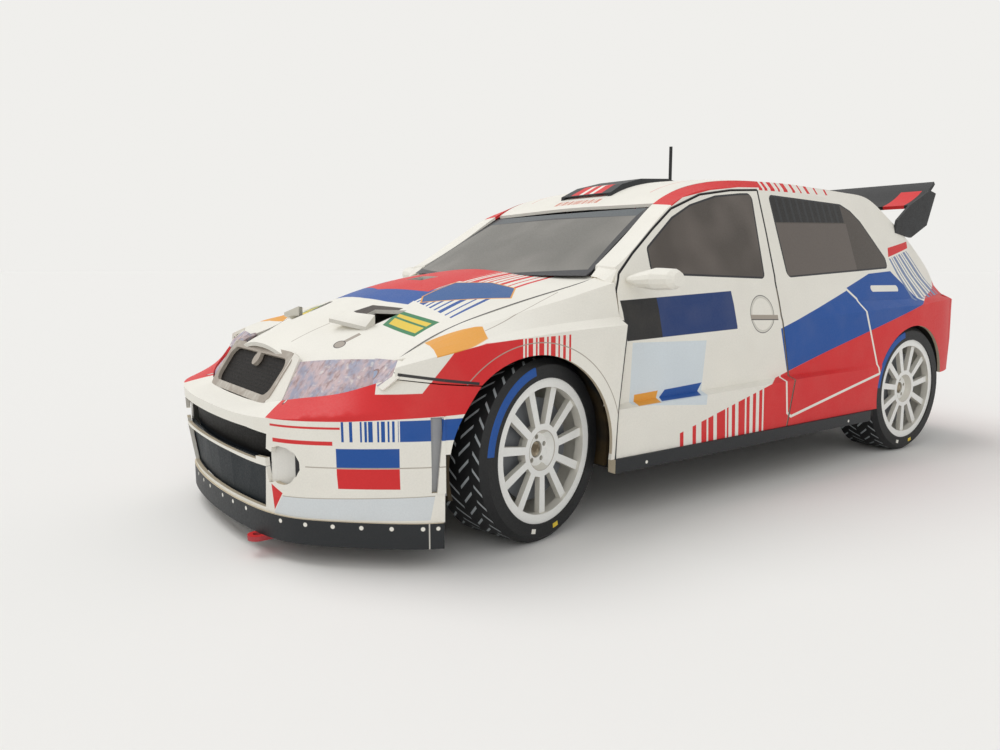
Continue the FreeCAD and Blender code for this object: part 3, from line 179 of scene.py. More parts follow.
class Print:
    """The ink on one sheet of card, laid patch over patch on a flat chart in millimetres."""

    # The way across and the way up each chart, on the car.
    CHARTS = {
        "side": ((1, 0, 0), (0, 0, 1)),
        "plan": ((1, 0, 0), (0, 1, 0)),
        "nose": ((1, -1, 0), (0, 0, 1)),
        "behind": ((0, 1, 0), (0, 0, 1)),
    }
    # An edge of ink spreads over 1/14 mm.
    INK_EDGE = 14.0

    def __init__(self, name, chart="side", ground="white", origin=None, turn=0.0):
        self.material = bpy.data.materials.new(name)
        self.material.use_nodes = True
        self.tree = self.material.node_tree
        self.shader = self.tree.nodes["Principled BSDF"]
        self.texture = add(self.tree, "ShaderNodeTexCoord")
        place = self.texture.outputs["Object"]
        if origin is None:
            # Both sides of the car carry the same print.
            whole = add(self.tree, "ShaderNodeSeparateXYZ", {0: place})
            aside = add(self.tree, MATH, {0: whole.outputs["Y"]}, operation="ABSOLUTE")
            place = add(self.tree, "ShaderNodeCombineXYZ",
                        {"X": whole.outputs["X"], "Y": aside, "Z": whole.outputs["Z"]})
        else:
            centre = [v * MM for v in origin]
            place = add(self.tree, VECTOR, {0: place, 1: centre}, operation="SUBTRACT")
            place = add(self.tree, "ShaderNodeVectorRotate", {"Vector": place, "Angle": -turn},
                        rotation_type="Z_AXIS")
        self.place = add(self.tree, VECTOR, {0: place, "Scale": PER_METRE}, operation="SCALE")
        self.colour = rgba(ground)
        self.use(chart)

    def use(self, chart):
        """Goes on printing on another chart of the same sheet."""
        self.across, self.up = [add(self.tree, VECTOR, {0: self.place, 1: way}, operation="DOT_PRODUCT")
                                for way in self.CHARTS[chart]]
        self.chart = add(self.tree, "ShaderNodeCombineXYZ", {"X": self.across, "Y": self.up, "Z": 1.0})

    def lay(self, cover, ink):
        """Lays an ink where cover is one."""
        self.colour = add(self.tree, "ShaderNodeMix", {0: cover, 6: self.colour, 7: rgba(ink)},
                          data_type="RGBA")

    def cover(self, depth, sign=1.0, reach=0.0):
        """Turns a depth in millimetres into cover, with the slight spread of ink at its edge."""
        return add(self.tree, MATH,
                   {0: depth, 1: sign * self.INK_EDGE, 2: 0.5 + reach * self.INK_EDGE},
                   operation="MULTIPLY_ADD", use_clamp=True)

    def line_off(self, line, sign=1.0):
        """Distance from a line of the chart, positive on its left."""
        (x0, y0), (x1, y1) = line
        run = math.copysign(math.hypot(x1 - x0, y1 - y0), sign)
        a, b = (y0 - y1) / run, (x1 - x0) / run
        return add(self.tree, VECTOR, {0: self.chart, 1: (a, b, -a * x0 - b * y0)},
                   operation="DOT_PRODUCT")

    def depth(self, corners):
        """How deep a point lies inside a convex outline on the chart."""
        pairs = list(zip(corners, corners[1:] + corners[:1]))
        area = sum(x0 * y1 - x1 * y0 for (x0, y0), (x1, y1) in pairs)
        deep = self.line_off(pairs[0], area)
        for pair in pairs[1:]:
            deep = add(self.tree, MATH, {0: deep, 1: self.line_off(pair, area)}, operation="MINIMUM")
        return deep

    def patch(self, ink, *corners):
        """A flat patch with straight edges."""
        self.lay(self.cover(self.depth(corners)), ink)

    def outline(self, ink, width, *corners):
        """A line along the edge of a patch."""
        off = add(self.tree, MATH, {0: self.depth(corners)}, operation="ABSOLUTE")
        self.lay(self.cover(off, -1.0, width / 2), ink)

    def stroke(self, ink, width, *points):
        """A drawn line through some points."""
        for (x0, y0), (x1, y1) in zip(points, points[1:]):
            run = math.hypot(x1 - x0, y1 - y0)
            a, b = (y0 - y1) / run * width / 2, (x1 - x0) / run * width / 2
            self.patch(ink, (x0 + a, y0 + b), (x1 + a, y1 + b), (x1 - a, y1 - b), (x0 - a, y0 - b))

    def away(self, centre):
        """How far a point of the chart lies from a centre."""
        return add(self.tree, VECTOR, {0: self.chart, 1: (*centre, 1.0)}, operation="DISTANCE")

    def disc(self, ink, centre, radius):
        """A round spot."""
        self.lay(self.cover(self.away(centre), -1.0, radius), ink)

    def ring(self, ink, away, radius, width):
        """A drawn circle, from the distance to its centre."""
        off = add(self.tree, MATH, {0: away, 1: radius}, operation="SUBTRACT")
        off = add(self.tree, MATH, {0: off}, operation="ABSOLUTE")
        self.lay(self.cover(off, -1.0, width / 2), ink)

    def spots(self, ink, radius, places):
        """Printed rivet heads, each given by its place on the car."""
        near = None
        for place in places:
            off = add(self.tree, VECTOR, {0: self.place, 1: place}, operation="DISTANCE")
            near = off if near is None else add(self.tree, MATH, {0: near, 1: off}, operation="MINIMUM")
        self.lay(self.cover(near, -1.0, radius), ink)

    def comb(self, ink, share, spans, clip):
        """Bars where a share from 0 to 1 lies in one of the spans, inside a clip."""
        ramp = add(self.tree, "ShaderNodeValToRGB", {0: share})
        stops = ramp.color_ramp
        stops.interpolation = "CONSTANT"
        stops.elements[0].color = (0, 0, 0, 1)
        stops.elements[1].color = (0, 0, 0, 1)
        for span in spans:
            for edge, shade in zip(span, (1.0, 0.0)):
                stops.elements.new(edge).color = (shade, shade, shade, 1)
        self.lay(add(self.tree, MATH, {0: ramp, 1: clip}, operation="MULTIPLY"), ink)

    def bars(self, ink, spans, value, clip):
        """Bars of mixed widths along a value in millimetres, inside a clip."""
        low = min(min(span) for span in spans) - 1.0
        high = max(max(span) for span in spans) + 1.0
        share = add(self.tree, "ShaderNodeMapRange", {0: value, 1: low, 2: high})
        self.comb(ink, share, [[(edge - low) / (high - low) for edge in span] for span in sorted(spans)],
                  clip)

    def fan(self, ink, spans, left, right, clip):
        """Stripes that spread: spans are shares of the way from one line of the chart to another."""
        near, far = self.line_off(left), self.line_off(right)
        apart = add(self.tree, MATH, {0: near, 1: far}, operation="SUBTRACT")
        self.comb(ink, add(self.tree, MATH, {0: near, 1: apart}, operation="DIVIDE"), spans, clip)

    def cut_edges(self, axis, limit, below=True, ink="core", face_up=0.3, top=90.0):
        """Bare card where a panel is cut: its normal lies away from, or along, an axis.

        Faces that look up more than face_up carry print, and so does all above top.
        """
        normal = self.texture.outputs["Normal"]
        along = add(self.tree, VECTOR, {0: normal, 1: axis}, operation="DOT_PRODUCT")
        along = add(self.tree, MATH, {0: along}, operation="ABSOLUTE")
        bare = add(self.tree, MATH, {0: along, 1: limit},
                   operation="LESS_THAN" if below else "GREATER_THAN")
        for vector, most in ((normal, face_up), (self.place, top)):
            height = add(self.tree, VECTOR, {0: vector, 1: (0, 0, 1)}, operation="DOT_PRODUCT")
            bare = add(self.tree, MATH, {0: bare, 1: add(self.tree, MATH, {0: height, 1: most},
                                              operation="LESS_THAN")}, operation="MULTIPLY")
        self.lay(bare, ink)

    def blotches(self, ink, size, low, high, detail=2.0, stretch=(1, 1, 1), most=1.0):
        """Uneven tone of a printed picture or a shadow of glue, size millimetres long."""
        place = add(self.tree, VECTOR, {0: self.place, 1: stretch}, operation="MULTIPLY")
        noise = add(self.tree, "ShaderNodeTexNoise", {"Vector": place, "Scale": 1.0 / size,
                                                      "Detail": detail, "Roughness": 0.55})
        self.lay(add(self.tree, "ShaderNodeMapRange", {0: noise, 1: low, 2: high, 4: most}), ink)

    def finish(self, rough=0.52, grain=0.05, fibre=0.014, wave=0.05, specular=0.42):
        """Ink grain, slow unevenness of the sheet, and the fibre of the card.

        A real speck of ink is 0.05 mm and a fibre 0.03 mm, too fine to show, so the panel's sizes
        are coarser. The waves are the real ones of a glued sheet.
        """
        tree = self.tree
        paper = bpy.context.scene.card_paper
        fine, slow, fibres = [
            add(tree, "ShaderNodeTexNoise", {"Vector": self.place, "Scale": 1 / size, "Detail": detail,
                                             "Roughness": mix})
            for size, detail, mix in ((paper.grain_size, 2.0, 0.6), (paper.wave_size, 1.0, 0.5),
                                      (paper.fibre_size, 3.0, 0.65))]
        tone = add(tree, "ShaderNodeMapRange", {0: fine, 1: 0.25, 2: 0.75, 3: 1 - grain,
                                                4: 1 + grain / 3})
        drift = add(tree, "ShaderNodeMapRange", {0: slow, 1: 0.3, 2: 0.7, 3: 0.965, 4: 1.0})
        tone = add(self.tree, MATH, {0: tone, 1: drift}, operation="MULTIPLY")
        grey = add(tree, "ShaderNodeCombineXYZ", {"X": tone, "Y": tone, "Z": tone})
        colour = add(tree, "ShaderNodeMix", {0: 1.0, 6: self.colour, 7: grey}, data_type="RGBA",
                     blend_type="MULTIPLY")
        sheen = add(tree, "ShaderNodeMapRange", {0: fibres, 1: 0.3, 2: 0.7, 3: rough - 0.06,
                                                 4: rough + 0.1})
        swell = add(tree, "ShaderNodeBump", {"Strength": 0.6, "Distance": wave * MM, "Height": slow})
        nap = add(tree, "ShaderNodeBump", {"Strength": 0.7, "Distance": fibre * MM, "Height": fibres,
                                           "Normal": swell})
        tree.links.new(colour.outputs[2], self.shader.inputs["Base Color"])
        tree.links.new(sheen.outputs[0], self.shader.inputs["Roughness"])
        tree.links.new(nap.outputs[0], self.shader.inputs["Normal"])
        self.shader.inputs["Specular IOR Level"].default_value = specular
        return self.material


def dress(material, *names):
    """Gives CAD nodes their material."""
    for name in names:
        slots = frame["nodes"][name].data.materials
        slots.clear()
        slots.append(material)


def prism(outline, low, high):
    """A closed block from an outline in (across, up) millimetres, run from low to high along x."""
    work = bmesh.new()
    rows = [[work.verts.new((x * MM, y * MM, z * MM)) for y, z in outline] for x in (low, high)]
    for row in rows:
        work.faces.new(row)
    for i in range(len(outline)):
        k = (i + 1) % len(outline)
        work.faces.new((rows[0][i], rows[0][k], rows[1][k], rows[1][i]))
    bmesh.ops.recalc_face_normals(work, faces=work.faces)
    mesh = bpy.data.meshes.new("cutter")
    work.to_mesh(mesh)
    work.free()
    piece = bpy.data.objects.new("cutter", mesh)
    bpy.context.scene.collection.objects.link(piece)
    return piece


def sheet_between(name, near, far, thickness, material):
    """A sheet of card between two rows of points in millimetres, its thickness half to each side."""
    work = bmesh.new()
    rows = [[work.verts.new([v * MM for v in point]) for point in row] for row in (near, far)]
    for i in range(len(near) - 1):
        work.faces.new((rows[0][i], rows[0][i + 1], rows[1][i + 1], rows[1][i]))
    mesh = bpy.data.meshes.new(name)
    work.to_mesh(mesh)
    work.free()
    piece = bpy.data.objects.new(name, mesh)
    bpy.context.scene.collection.objects.link(piece)
    thick = piece.modifiers.new("card", "SOLIDIFY")
    thick.thickness = thickness * MM
    thick.offset = 0.0
    piece.data.materials.append(material)
    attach(piece, "root")


def card_pairs(*sheets):
    """The same small sheets of card on both sides of the car."""
    for side, way in zip(SIDES, (1, -1)):
        for name, near, far, thickness, material in sheets:
            rows = [[(x, way * y, z) for x, y, z in row] for row in (near, far)]
            sheet_between(f"{name}_{side}", *rows, thickness, material)


def carved(name, node, cutters):
    """A copy of a CAD node's card with openings cut through it; it stands for that node."""
    work = bmesh.new()
    work.from_mesh(frame["nodes"][node].data)
    bmesh.ops.remove_doubles(work, verts=work.verts, dist=1e-6)
    mesh = bpy.data.meshes.new(name)
    work.to_mesh(mesh)
    work.free()
    piece = bpy.data.objects.new(name, mesh)
    bpy.context.scene.collection.objects.link(piece)
    for cutter in cutters:
        cut = piece.modifiers.new("opening", "BOOLEAN")
        cut.operation = "DIFFERENCE"
        cut.solver = "EXACT"
        cut.object = cutter
    graph = bpy.context.evaluated_depsgraph_get()
    mesh = bpy.data.meshes.new_from_object(piece.evaluated_get(graph))
    piece.modifiers.clear()
    piece.data = mesh
    mesh.name = name
    for polygon in mesh.polygons:
        polygon.use_smooth = True
    mesh.set_sharp_from_angle(angle=FOLD)
    for cutter in cutters:
        bpy.data.objects.remove(cutter)
    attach(piece, frame["nodes"][node]["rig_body"])
    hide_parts(node)
    return piece


def both(name):
    """A name on the left and on the right."""
    return [f"{name}_{side}" for side in SIDES]


def wedge(x):
    """Height at x of the upper edge of the red wedge under the doors, which climbs to the tail."""
    return 12.3 + 0.2475 * (21.1 - x)


SILL_BARS = ((21.2, 21.5), (17.8, 18.9), (14.6, 15.5), (12.0, 13.2), (10.2, 11.5), (7.4, 9.4),
             (6.3, 6.9), (4.5, 5.3), (1.8, 3.6), (0.6, 1.3), (-1.4, -0.5), (-3.0, -2.2), (-90.0, -3.3))
RAIL_BARS = ((-13.4, -12.2), (-15.0, -14.1), (-17.3, -16.0), (-19.0, -18.4), (-21.5, -20.2),
             (-24.0, -23.1), (-26.2, -25.7), (-29.0, -28.0), (-32.0, -31.4), (-35.7, -35.0))
WEDGE_ENDS = (40.0, -90.0)


def print_flank(sheet):
    """The livery of the doors and side panels, signs left blank."""
    front, back = WEDGE_ENDS
    # A blue field over the rear door, then the red wedge and its bars.
    sheet.patch("blue", (-9.8, 29.1), (-42.7, 38.5), (-52.0, 39.0), (-60.5, 32.3), (-12.0, 20.5))
    under = sheet.depth([(front, wedge(front)), (back, wedge(back)), (back, 0.0), (front, 0.0)])
    sheet.bars("red", SILL_BARS, sheet.across, sheet.cover(under))
    sheet.patch("red", (-50.0, wedge(-50.0)), (-90.0, 36.0), (-90.0, 5.0), (-50.0, 5.0))
    # White line round the field, and a white slot in it.
    box = ((-9.2, 28.7), (-34.7, 36.0), (-35.7, 33.5), (-39.9, 30.5), (-45.2, 20.1),
           (-44.8, 18.5), (-11.5, 12.3), (-10.3, 13.1))
    sheet.outline("white", 0.5, *box)
    sheet.patch("white", (-42.4, 36.1), (-52.0, 36.0), (-52.3, 34.7), (-42.3, 34.8))
    sheet.disc("white", (-42.5, 35.45), 0.65)
    sheet.disc("white", (-52.0, 35.35), 0.65)
    # Blank two-tone board on the door, and blank labels under it.
    sheet.patch("deep_blue", (30.3, 34.8), (3.2, 35.8), (2.6, 29.2), (29.6, 28.5))
    sheet.patch("black", (30.3, 34.8), (22.1, 35.1), (21.6, 28.7), (29.6, 28.5))
    sheet.patch("pale_blue", (28.4, 28.2), (10.8, 27.6), (12.3, 16.9), (29.1, 18.5))
    sheet.patch("blue", (21.0, 20.1), (11.9, 20.5), (13.4, 18.6), (22.8, 18.5))
    sheet.patch("orange", (28.0, 19.9), (22.6, 20.1), (23.2, 18.4), (28.2, 18.3))
    # Rear pillar: grey-blue stripes with a red patch above.
    pillar = ((-52.7, 41.6), (-63.5, 43.6), (-74.5, 33.8), (-57.0, 32.6))
    clip = sheet.cover(sheet.depth(pillar))
    sheet.fan("grey_blue", ((0.03, 0.1), (0.17, 0.2), (0.26, 0.36), (0.42, 0.45), (0.52, 0.6),
                            (0.66, 0.69), (0.75, 0.84), (0.9, 0.93)),
              ((-52.7, 41.6), (-57.0, 32.6)), ((-63.5, 43.6), (-74.5, 33.8)), clip)
    sheet.patch("red", (-52.9, 42.0), (-63.9, 44.1), (-64.5, 45.6), (-53.8, 44.0))
    # Ring and bar of the printed door handle.
    handle = sheet.away((-4.7, 31.5))
    sheet.ring("shade_white", handle, 3.1, 0.5)
    sheet.ring("line", handle, 3.35, 0.12)
    sheet.stroke("grille", 0.8, (-1.4, 31.1), (-9.2, 30.8))
    sheet.stroke("line", 0.16, (-1.4, 30.65), (-9.2, 30.35))


def print_rail(sheet):
    """Red along the roof rail, breaking up into bars behind the rear door."""
    edge = ((13.6, 50.2), (10.2, 51.9), (2.3, 53.6), (-6.1, 54.6), (-12.4, 54.9))
    for (x0, z0), (x1, z1) in zip(edge, edge[1:]):
        sheet.patch("red", (x0, z0), (x1 - 0.02, z1), (x1 - 0.02, 62.0), (x0, 62.0))
    sheet.bars("red", RAIL_BARS, sheet.across,
               sheet.cover(sheet.depth([(-12.4, 54.4), (-36.0, 54.6), (-36.0, 60.0), (-12.4, 60.0)])))


DOOR_SEAM = ((33.74, 9.4), (33.0, 18.5), (31.2, 32.3), (30.8, 36.3), (29.5, 39.0), (25.5, 42.2),
             (19.6, 46.2), (13.9, 49.8), (5.5, 52.65), (-3.5, 53.9), (-11.7, 54.4), (-11.0, 46.5),
             (-9.9, 37.3), (-10.2, 31.0), (-12.6, 19.1), (-10.0, 9.4))
FRONT_PANE = ((22.36, 38.8), (22.05, 43.15), (14.25, 48.4), (8.8, 50.8), (1.3, 52.7), (-6.2, 53.5),
              (-9.66, 53.7), (-7.0, 37.8))
REAR_PANE = ((-14.7, 53.7), (-38.9, 52.9), (-42.1, 51.7), (-45.05, 49.5), (-51.4, 41.8),
             (-51.3, 39.6), (-13.86, 37.9))


def aged_edges(sheet):
    """Glue and handling leave a faint warm tone here and there."""
    sheet.blotches("core", 7.0, 0.45, 0.8, most=0.05)


def material_of_flank(name, rail):
    """Printed card, folded: satin ink over a faint fibre, and the pale core at its cut edges."""
    sheet = Print(name, "side")
    print_flank(sheet)
    if rail:
        print_rail(sheet)
    sheet.stroke("line", bpy.context.scene.card_paper.seam_width, *DOOR_SEAM)
    aged_edges(sheet)
    sheet.cut_edges((0, 1, 0), 0.2, top=36.0)
    return sheet.finish()


class CardColours(bpy.types.PropertyGroup):
    """Colours a user would change."""

    white: bpy.props.FloatVectorProperty(
        name="Card", description="Colour of the white card", subtype="COLOR", size=3,
        default=linear(HEX["white"]), min=0.0, max=1.0)
    red: bpy.props.FloatVectorProperty(
        name="Red", description="Colour of the red ink", subtype="COLOR", size=3,
        default=linear(HEX["red"]), min=0.0, max=1.0)
    blue: bpy.props.FloatVectorProperty(
        name="Blue", description="Colour of the blue ink", subtype="COLOR", size=3,
        default=linear(HEX["blue"]), min=0.0, max=1.0)
    line: bpy.props.FloatVectorProperty(
        name="Seam line", description="Colour of the drawn seam lines", subtype="COLOR", size=3,
        default=linear(HEX["line"]), min=0.0, max=1.0)
    floor: bpy.props.FloatVectorProperty(
        name="Floor", description="Colour of the floor", subtype="COLOR", size=3,
        default=linear(HEX["floor"]), min=0.0, max=1.0)


class CardPaper(bpy.types.PropertyGroup):
    """Sizes of the card's print and grain, in millimetres of the model."""

    seam_width: bpy.props.FloatProperty(
        name="Door seam", description="Width of the line drawn round the door", default=0.42,
        min=0.05)
    grain_size: bpy.props.FloatProperty(
        name="Ink grain", description="Width of a speck of ink, drawn coarser than real to show",
        default=0.22, min=0.01)
    fibre_size: bpy.props.FloatProperty(
        name="Fibre", description="Spacing of the card's fibres", default=0.3, min=0.01)
    wave_size: bpy.props.FloatProperty(
        name="Waviness", description="Length of the slow waves of a glued sheet", default=6.5,
        min=0.1)


class CardStage(bpy.types.PropertyGroup):
    """The camera and the light."""

    lens: bpy.props.FloatProperty(
        name="Lens", description="Focal length of the camera on a 36 mm sensor", default=28.9,
        min=1.0, unit="CAMERA")
    azimuth: bpy.props.FloatProperty(
        name="Azimuth", description="Bearing of the camera from the nose", subtype="ANGLE",
        default=math.radians(54.1))
    elevation: bpy.props.FloatProperty(
        name="Elevation", description="Height of the camera as an angle", subtype="ANGLE",
        default=math.radians(7.8))
    floor_radius: bpy.props.FloatProperty(
        name="Floor radius", description="Radius of the round floor", subtype="DISTANCE",
        default=6.0, min=0.5)
    sky: bpy.props.FloatProperty(
        name="Room light", description="Strength of the even light of the room", default=0.55,
        min=0.0)
    backdrop: bpy.props.FloatProperty(
        name="Backdrop", description="How bright the room is behind the car, 1 being the floor's colour",
        default=0.98, min=0.0)
    lamp: bpy.props.FloatProperty(
        name="Lamp", description="Strength of the soft light from above", default=1.25, min=0.0)


class CARD_OT_flanks(bpy.types.Operator):
    """Prints the doors and the side panels"""

    bl_idname = "card.flanks"
    bl_label = "Doors and side panels"

    def execute(self, context):
        dress(material_of_flank("printed_card_side_panel", True), *both("body_side"))
        dress(material_of_flank("printed_card_door", False), *both("front_door"))
        return {"FINISHED"}


class CARD_OT_wings(bpy.types.Operator):
    """Prints the front wings"""

    bl_idname = "card.wings"
    bl_label = "Front wings"

    def execute(self, context):
        # Printed card bent over the wheel: satin ink, and the pale core where the arch is cut.
        sheet = Print("printed_card_wing", "side")
        red = ((66.9, 23.7), (65.1, 26.1), (62.7, 29.0), (57.8, 29.9), (52.6, 30.2), (52.6, 20.0),
               (66.9, 20.0))
        sheet.patch("red", *red)
        clip = sheet.cover(sheet.depth([(52.7, 30.2), (43.0, 30.4), (43.0, 24.0), (52.7, 24.0)]))
        sheet.bars("red", ((43.1, 43.5), (44.1, 44.6), (45.2, 45.5), (46.0, 46.9), (47.3, 47.6),
                           (48.1, 49.0), (49.3, 49.6), (50.1, 50.9), (51.2, 51.5), (51.8, 52.7)),
                   sheet.across, clip)
        sheet.use("plan")
        sticker = sheet.depth([(61.9, 26.9), (55.0, 31.2), (57.6, 37.5), (65.8, 37.5)])
        # Painted shade along the folds on the wing's top, as a thin line.
        sheet.stroke("grille", 0.14, (55.4, 32.4), (48.1, 31.0), (39.0, 28.5))
        sheet.use("side")
        over = sheet.line_off(((57.2, 30.2), (65.8, 28.2)))
        sticker = add(sheet.tree, MATH, {0: sticker, 1: over}, operation="MINIMUM")
        sheet.lay(sheet.cover(sticker), "orange")
        sheet.ring("grille", sheet.away((49.2, 13.04)), 16.5, 0.14)
        sheet.stroke("line", 0.3, (33.75, 10.0), (33.2, 18.5), (31.5, 31.9))
        sheet.stroke("line", 0.4, (69.6, 26.3), (64.2, 25.4), (59.1, 24.6))
        aged_edges(sheet)
        sheet.cut_edges((0, 1, 0), 0.16, face_up=0.1)
        dress(sheet.finish(), *both("fender"))
        return {"FINISHED"}


class CARD_OT_bonnet(bpy.types.Operator):
    """Prints the bonnet"""

    bl_idname = "card.bonnet"
    bl_label = "Bonnet"

    def execute(self, context):
        # Printed card, slightly bowed: satin ink that catches broad soft light, and a pale cut edge.
        sheet = Print("printed_card_bonnet", "plan")
        sheet.patch("blue", (49.0, 10.9), (49.0, -1.0), (59.3, -1.0), (59.1, 2.9), (58.1, 8.9),
                    (56.8, 13.3))
        sheet.patch("red", (30.0, 8.0), (35.5, 9.0), (45.2, 10.7), (52.0, 11.4), (52.5, 9.6),
                    (55.1, 1.3), (55.1, -1.0), (30.0, -1.0))
        stripes = ((0.02, 0.09), (0.13, 0.16), (0.2, 0.3), (0.34, 0.37), (0.42, 0.46), (0.53, 0.56),
                   (0.62, 0.69), (0.77, 0.8), (0.88, 0.93))
        inner = ((30.0, 8.0), (57.0, 12.2))
        outer = ((30.0, 21.0), (57.0, 25.2))
        rear = sheet.depth([(33.5, 8.5), (45.5, 10.7), (43.4, 23.6), (33.0, 22.0)])
        front = sheet.depth([(47.5, 10.9), (55.5, 11.9), (55.6, 23.9), (46.8, 22.9)])
        sheet.fan("red", stripes, inner, outer, sheet.cover(rear))
        sheet.fan("blue", stripes, inner, outer, sheet.cover(front))
        plate = ((53.7, 12.6), (45.2, 10.7), (43.1, 12.8), (42.8, 16.3), (40.3, 20.0), (45.5, 25.1),
                 (55.2, 14.6))
        sheet.patch("plate_blue", *plate)
        sheet.outline("orange", 0.25, *plate)
        sheet.patch("green", (58.6, 13.9), (57.3, 23.5), (61.6, 23.5), (62.3, 15.2))
        sheet.patch("yellow", (59.2, 14.9), (58.2, 22.7), (61.0, 22.7), (61.6, 15.9))
        sheet.patch("green", (59.9, 14.5), (59.1, 23.0), (59.5, 23.0), (60.3, 14.5))
        # Printed bonnet pin with its plate.
        sheet.stroke("grille", 0.7, (68.4, 14.3), (65.6, 14.3))
        sheet.disc("grille", (69.0, 14.35), 0.85)
        sheet.ring("line", sheet.away((69.0, 14.35)), 0.85, 0.14)
        # The vent pocket's painted shade, painted shade along the fold beside the grille, and the seam
        # along the edge.
        sheet.patch("pocket", (62.9, 6.6), (63.0, 13.4), (57.9, 13.8), (60.0, 7.6))
        sheet.stroke("grille", 0.14, (73.5, 7.0), (67.2, 7.1))
        sheet.stroke("line", 0.36, (30.5, 28.1), (38.5, 27.7), (47.5, 27.15), (55.2, 26.65),
                     (63.0, 26.5), (66.8, 26.3))
        aged_edges(sheet)
        sheet.cut_edges((0, 0, 1), 0.25, ink="shade_white")
        dress(sheet.finish(), "bonnet")
        return {"FINISHED"}


class CARD_OT_roof(bpy.types.Operator):
    """Prints the roof, the roof vent and the aerial"""

    bl_idname = "card.roof"
    bl_label = "Roof"

    def execute(self, context):
        # Printed card, rolled: the bonnet's satin ink, with its red running on from the rails.
        sheet = Print("printed_card_roof", "plan")
        sheet.patch("red", (8.4, 23.3), (-2.1, 24.1), (-12.4, 24.3), (-12.4, 40.0), (8.4, 40.0))
        sheet.stroke("red", 0.16, (8.0, 17.6), (-12.0, 19.2), (-30.0, 20.0))
        dashes = ((0.1, 0.7), (1.0, 1.3), (1.7, 2.5), (2.9, 3.2), (3.5, 4.3), (4.7, 5.0), (5.4, 6.4))
        sheet.bars("salmon", dashes, sheet.up,
                   sheet.cover(sheet.depth([(9.3, -1.0), (9.3, 6.6), (11.0, 6.6), (11.0, -1.0)])))
        clip = sheet.cover(sheet.depth([(-12.4, 23.4), (-36.0, 23.4), (-36.0, 40.0), (-12.4, 40.0)]))
        sheet.bars("red", RAIL_BARS, sheet.across, clip)
        aged_edges(sheet)
        sheet.cut_edges((0, 0, 1), 0.25, ink="shade_white")
        dress(sheet.finish(), "roof")
        # Black printed card folded to a scoop: dense dull ink, edges inked as well.
        sheet = Print("black_card_roof_vent", "plan", "soft_black")
        sheet.patch("red", (8.0, -1.0), (8.0, 4.6), (3.6, 4.2), (3.6, -1.0))
        sheet.patch("white", (8.0, 0.9), (8.0, 2.1), (3.6, 1.9), (3.6, 0.8))
        dress(sheet.finish(), "roof_vent")
        # Black enamelled wire, drawn: smoother than card, so it takes a narrow highlight.
        sheet = Print("black_wire_aerial", "side", "black")
        dress(sheet.finish(rough=0.35), "antenna")
        return {"FINISHED"}


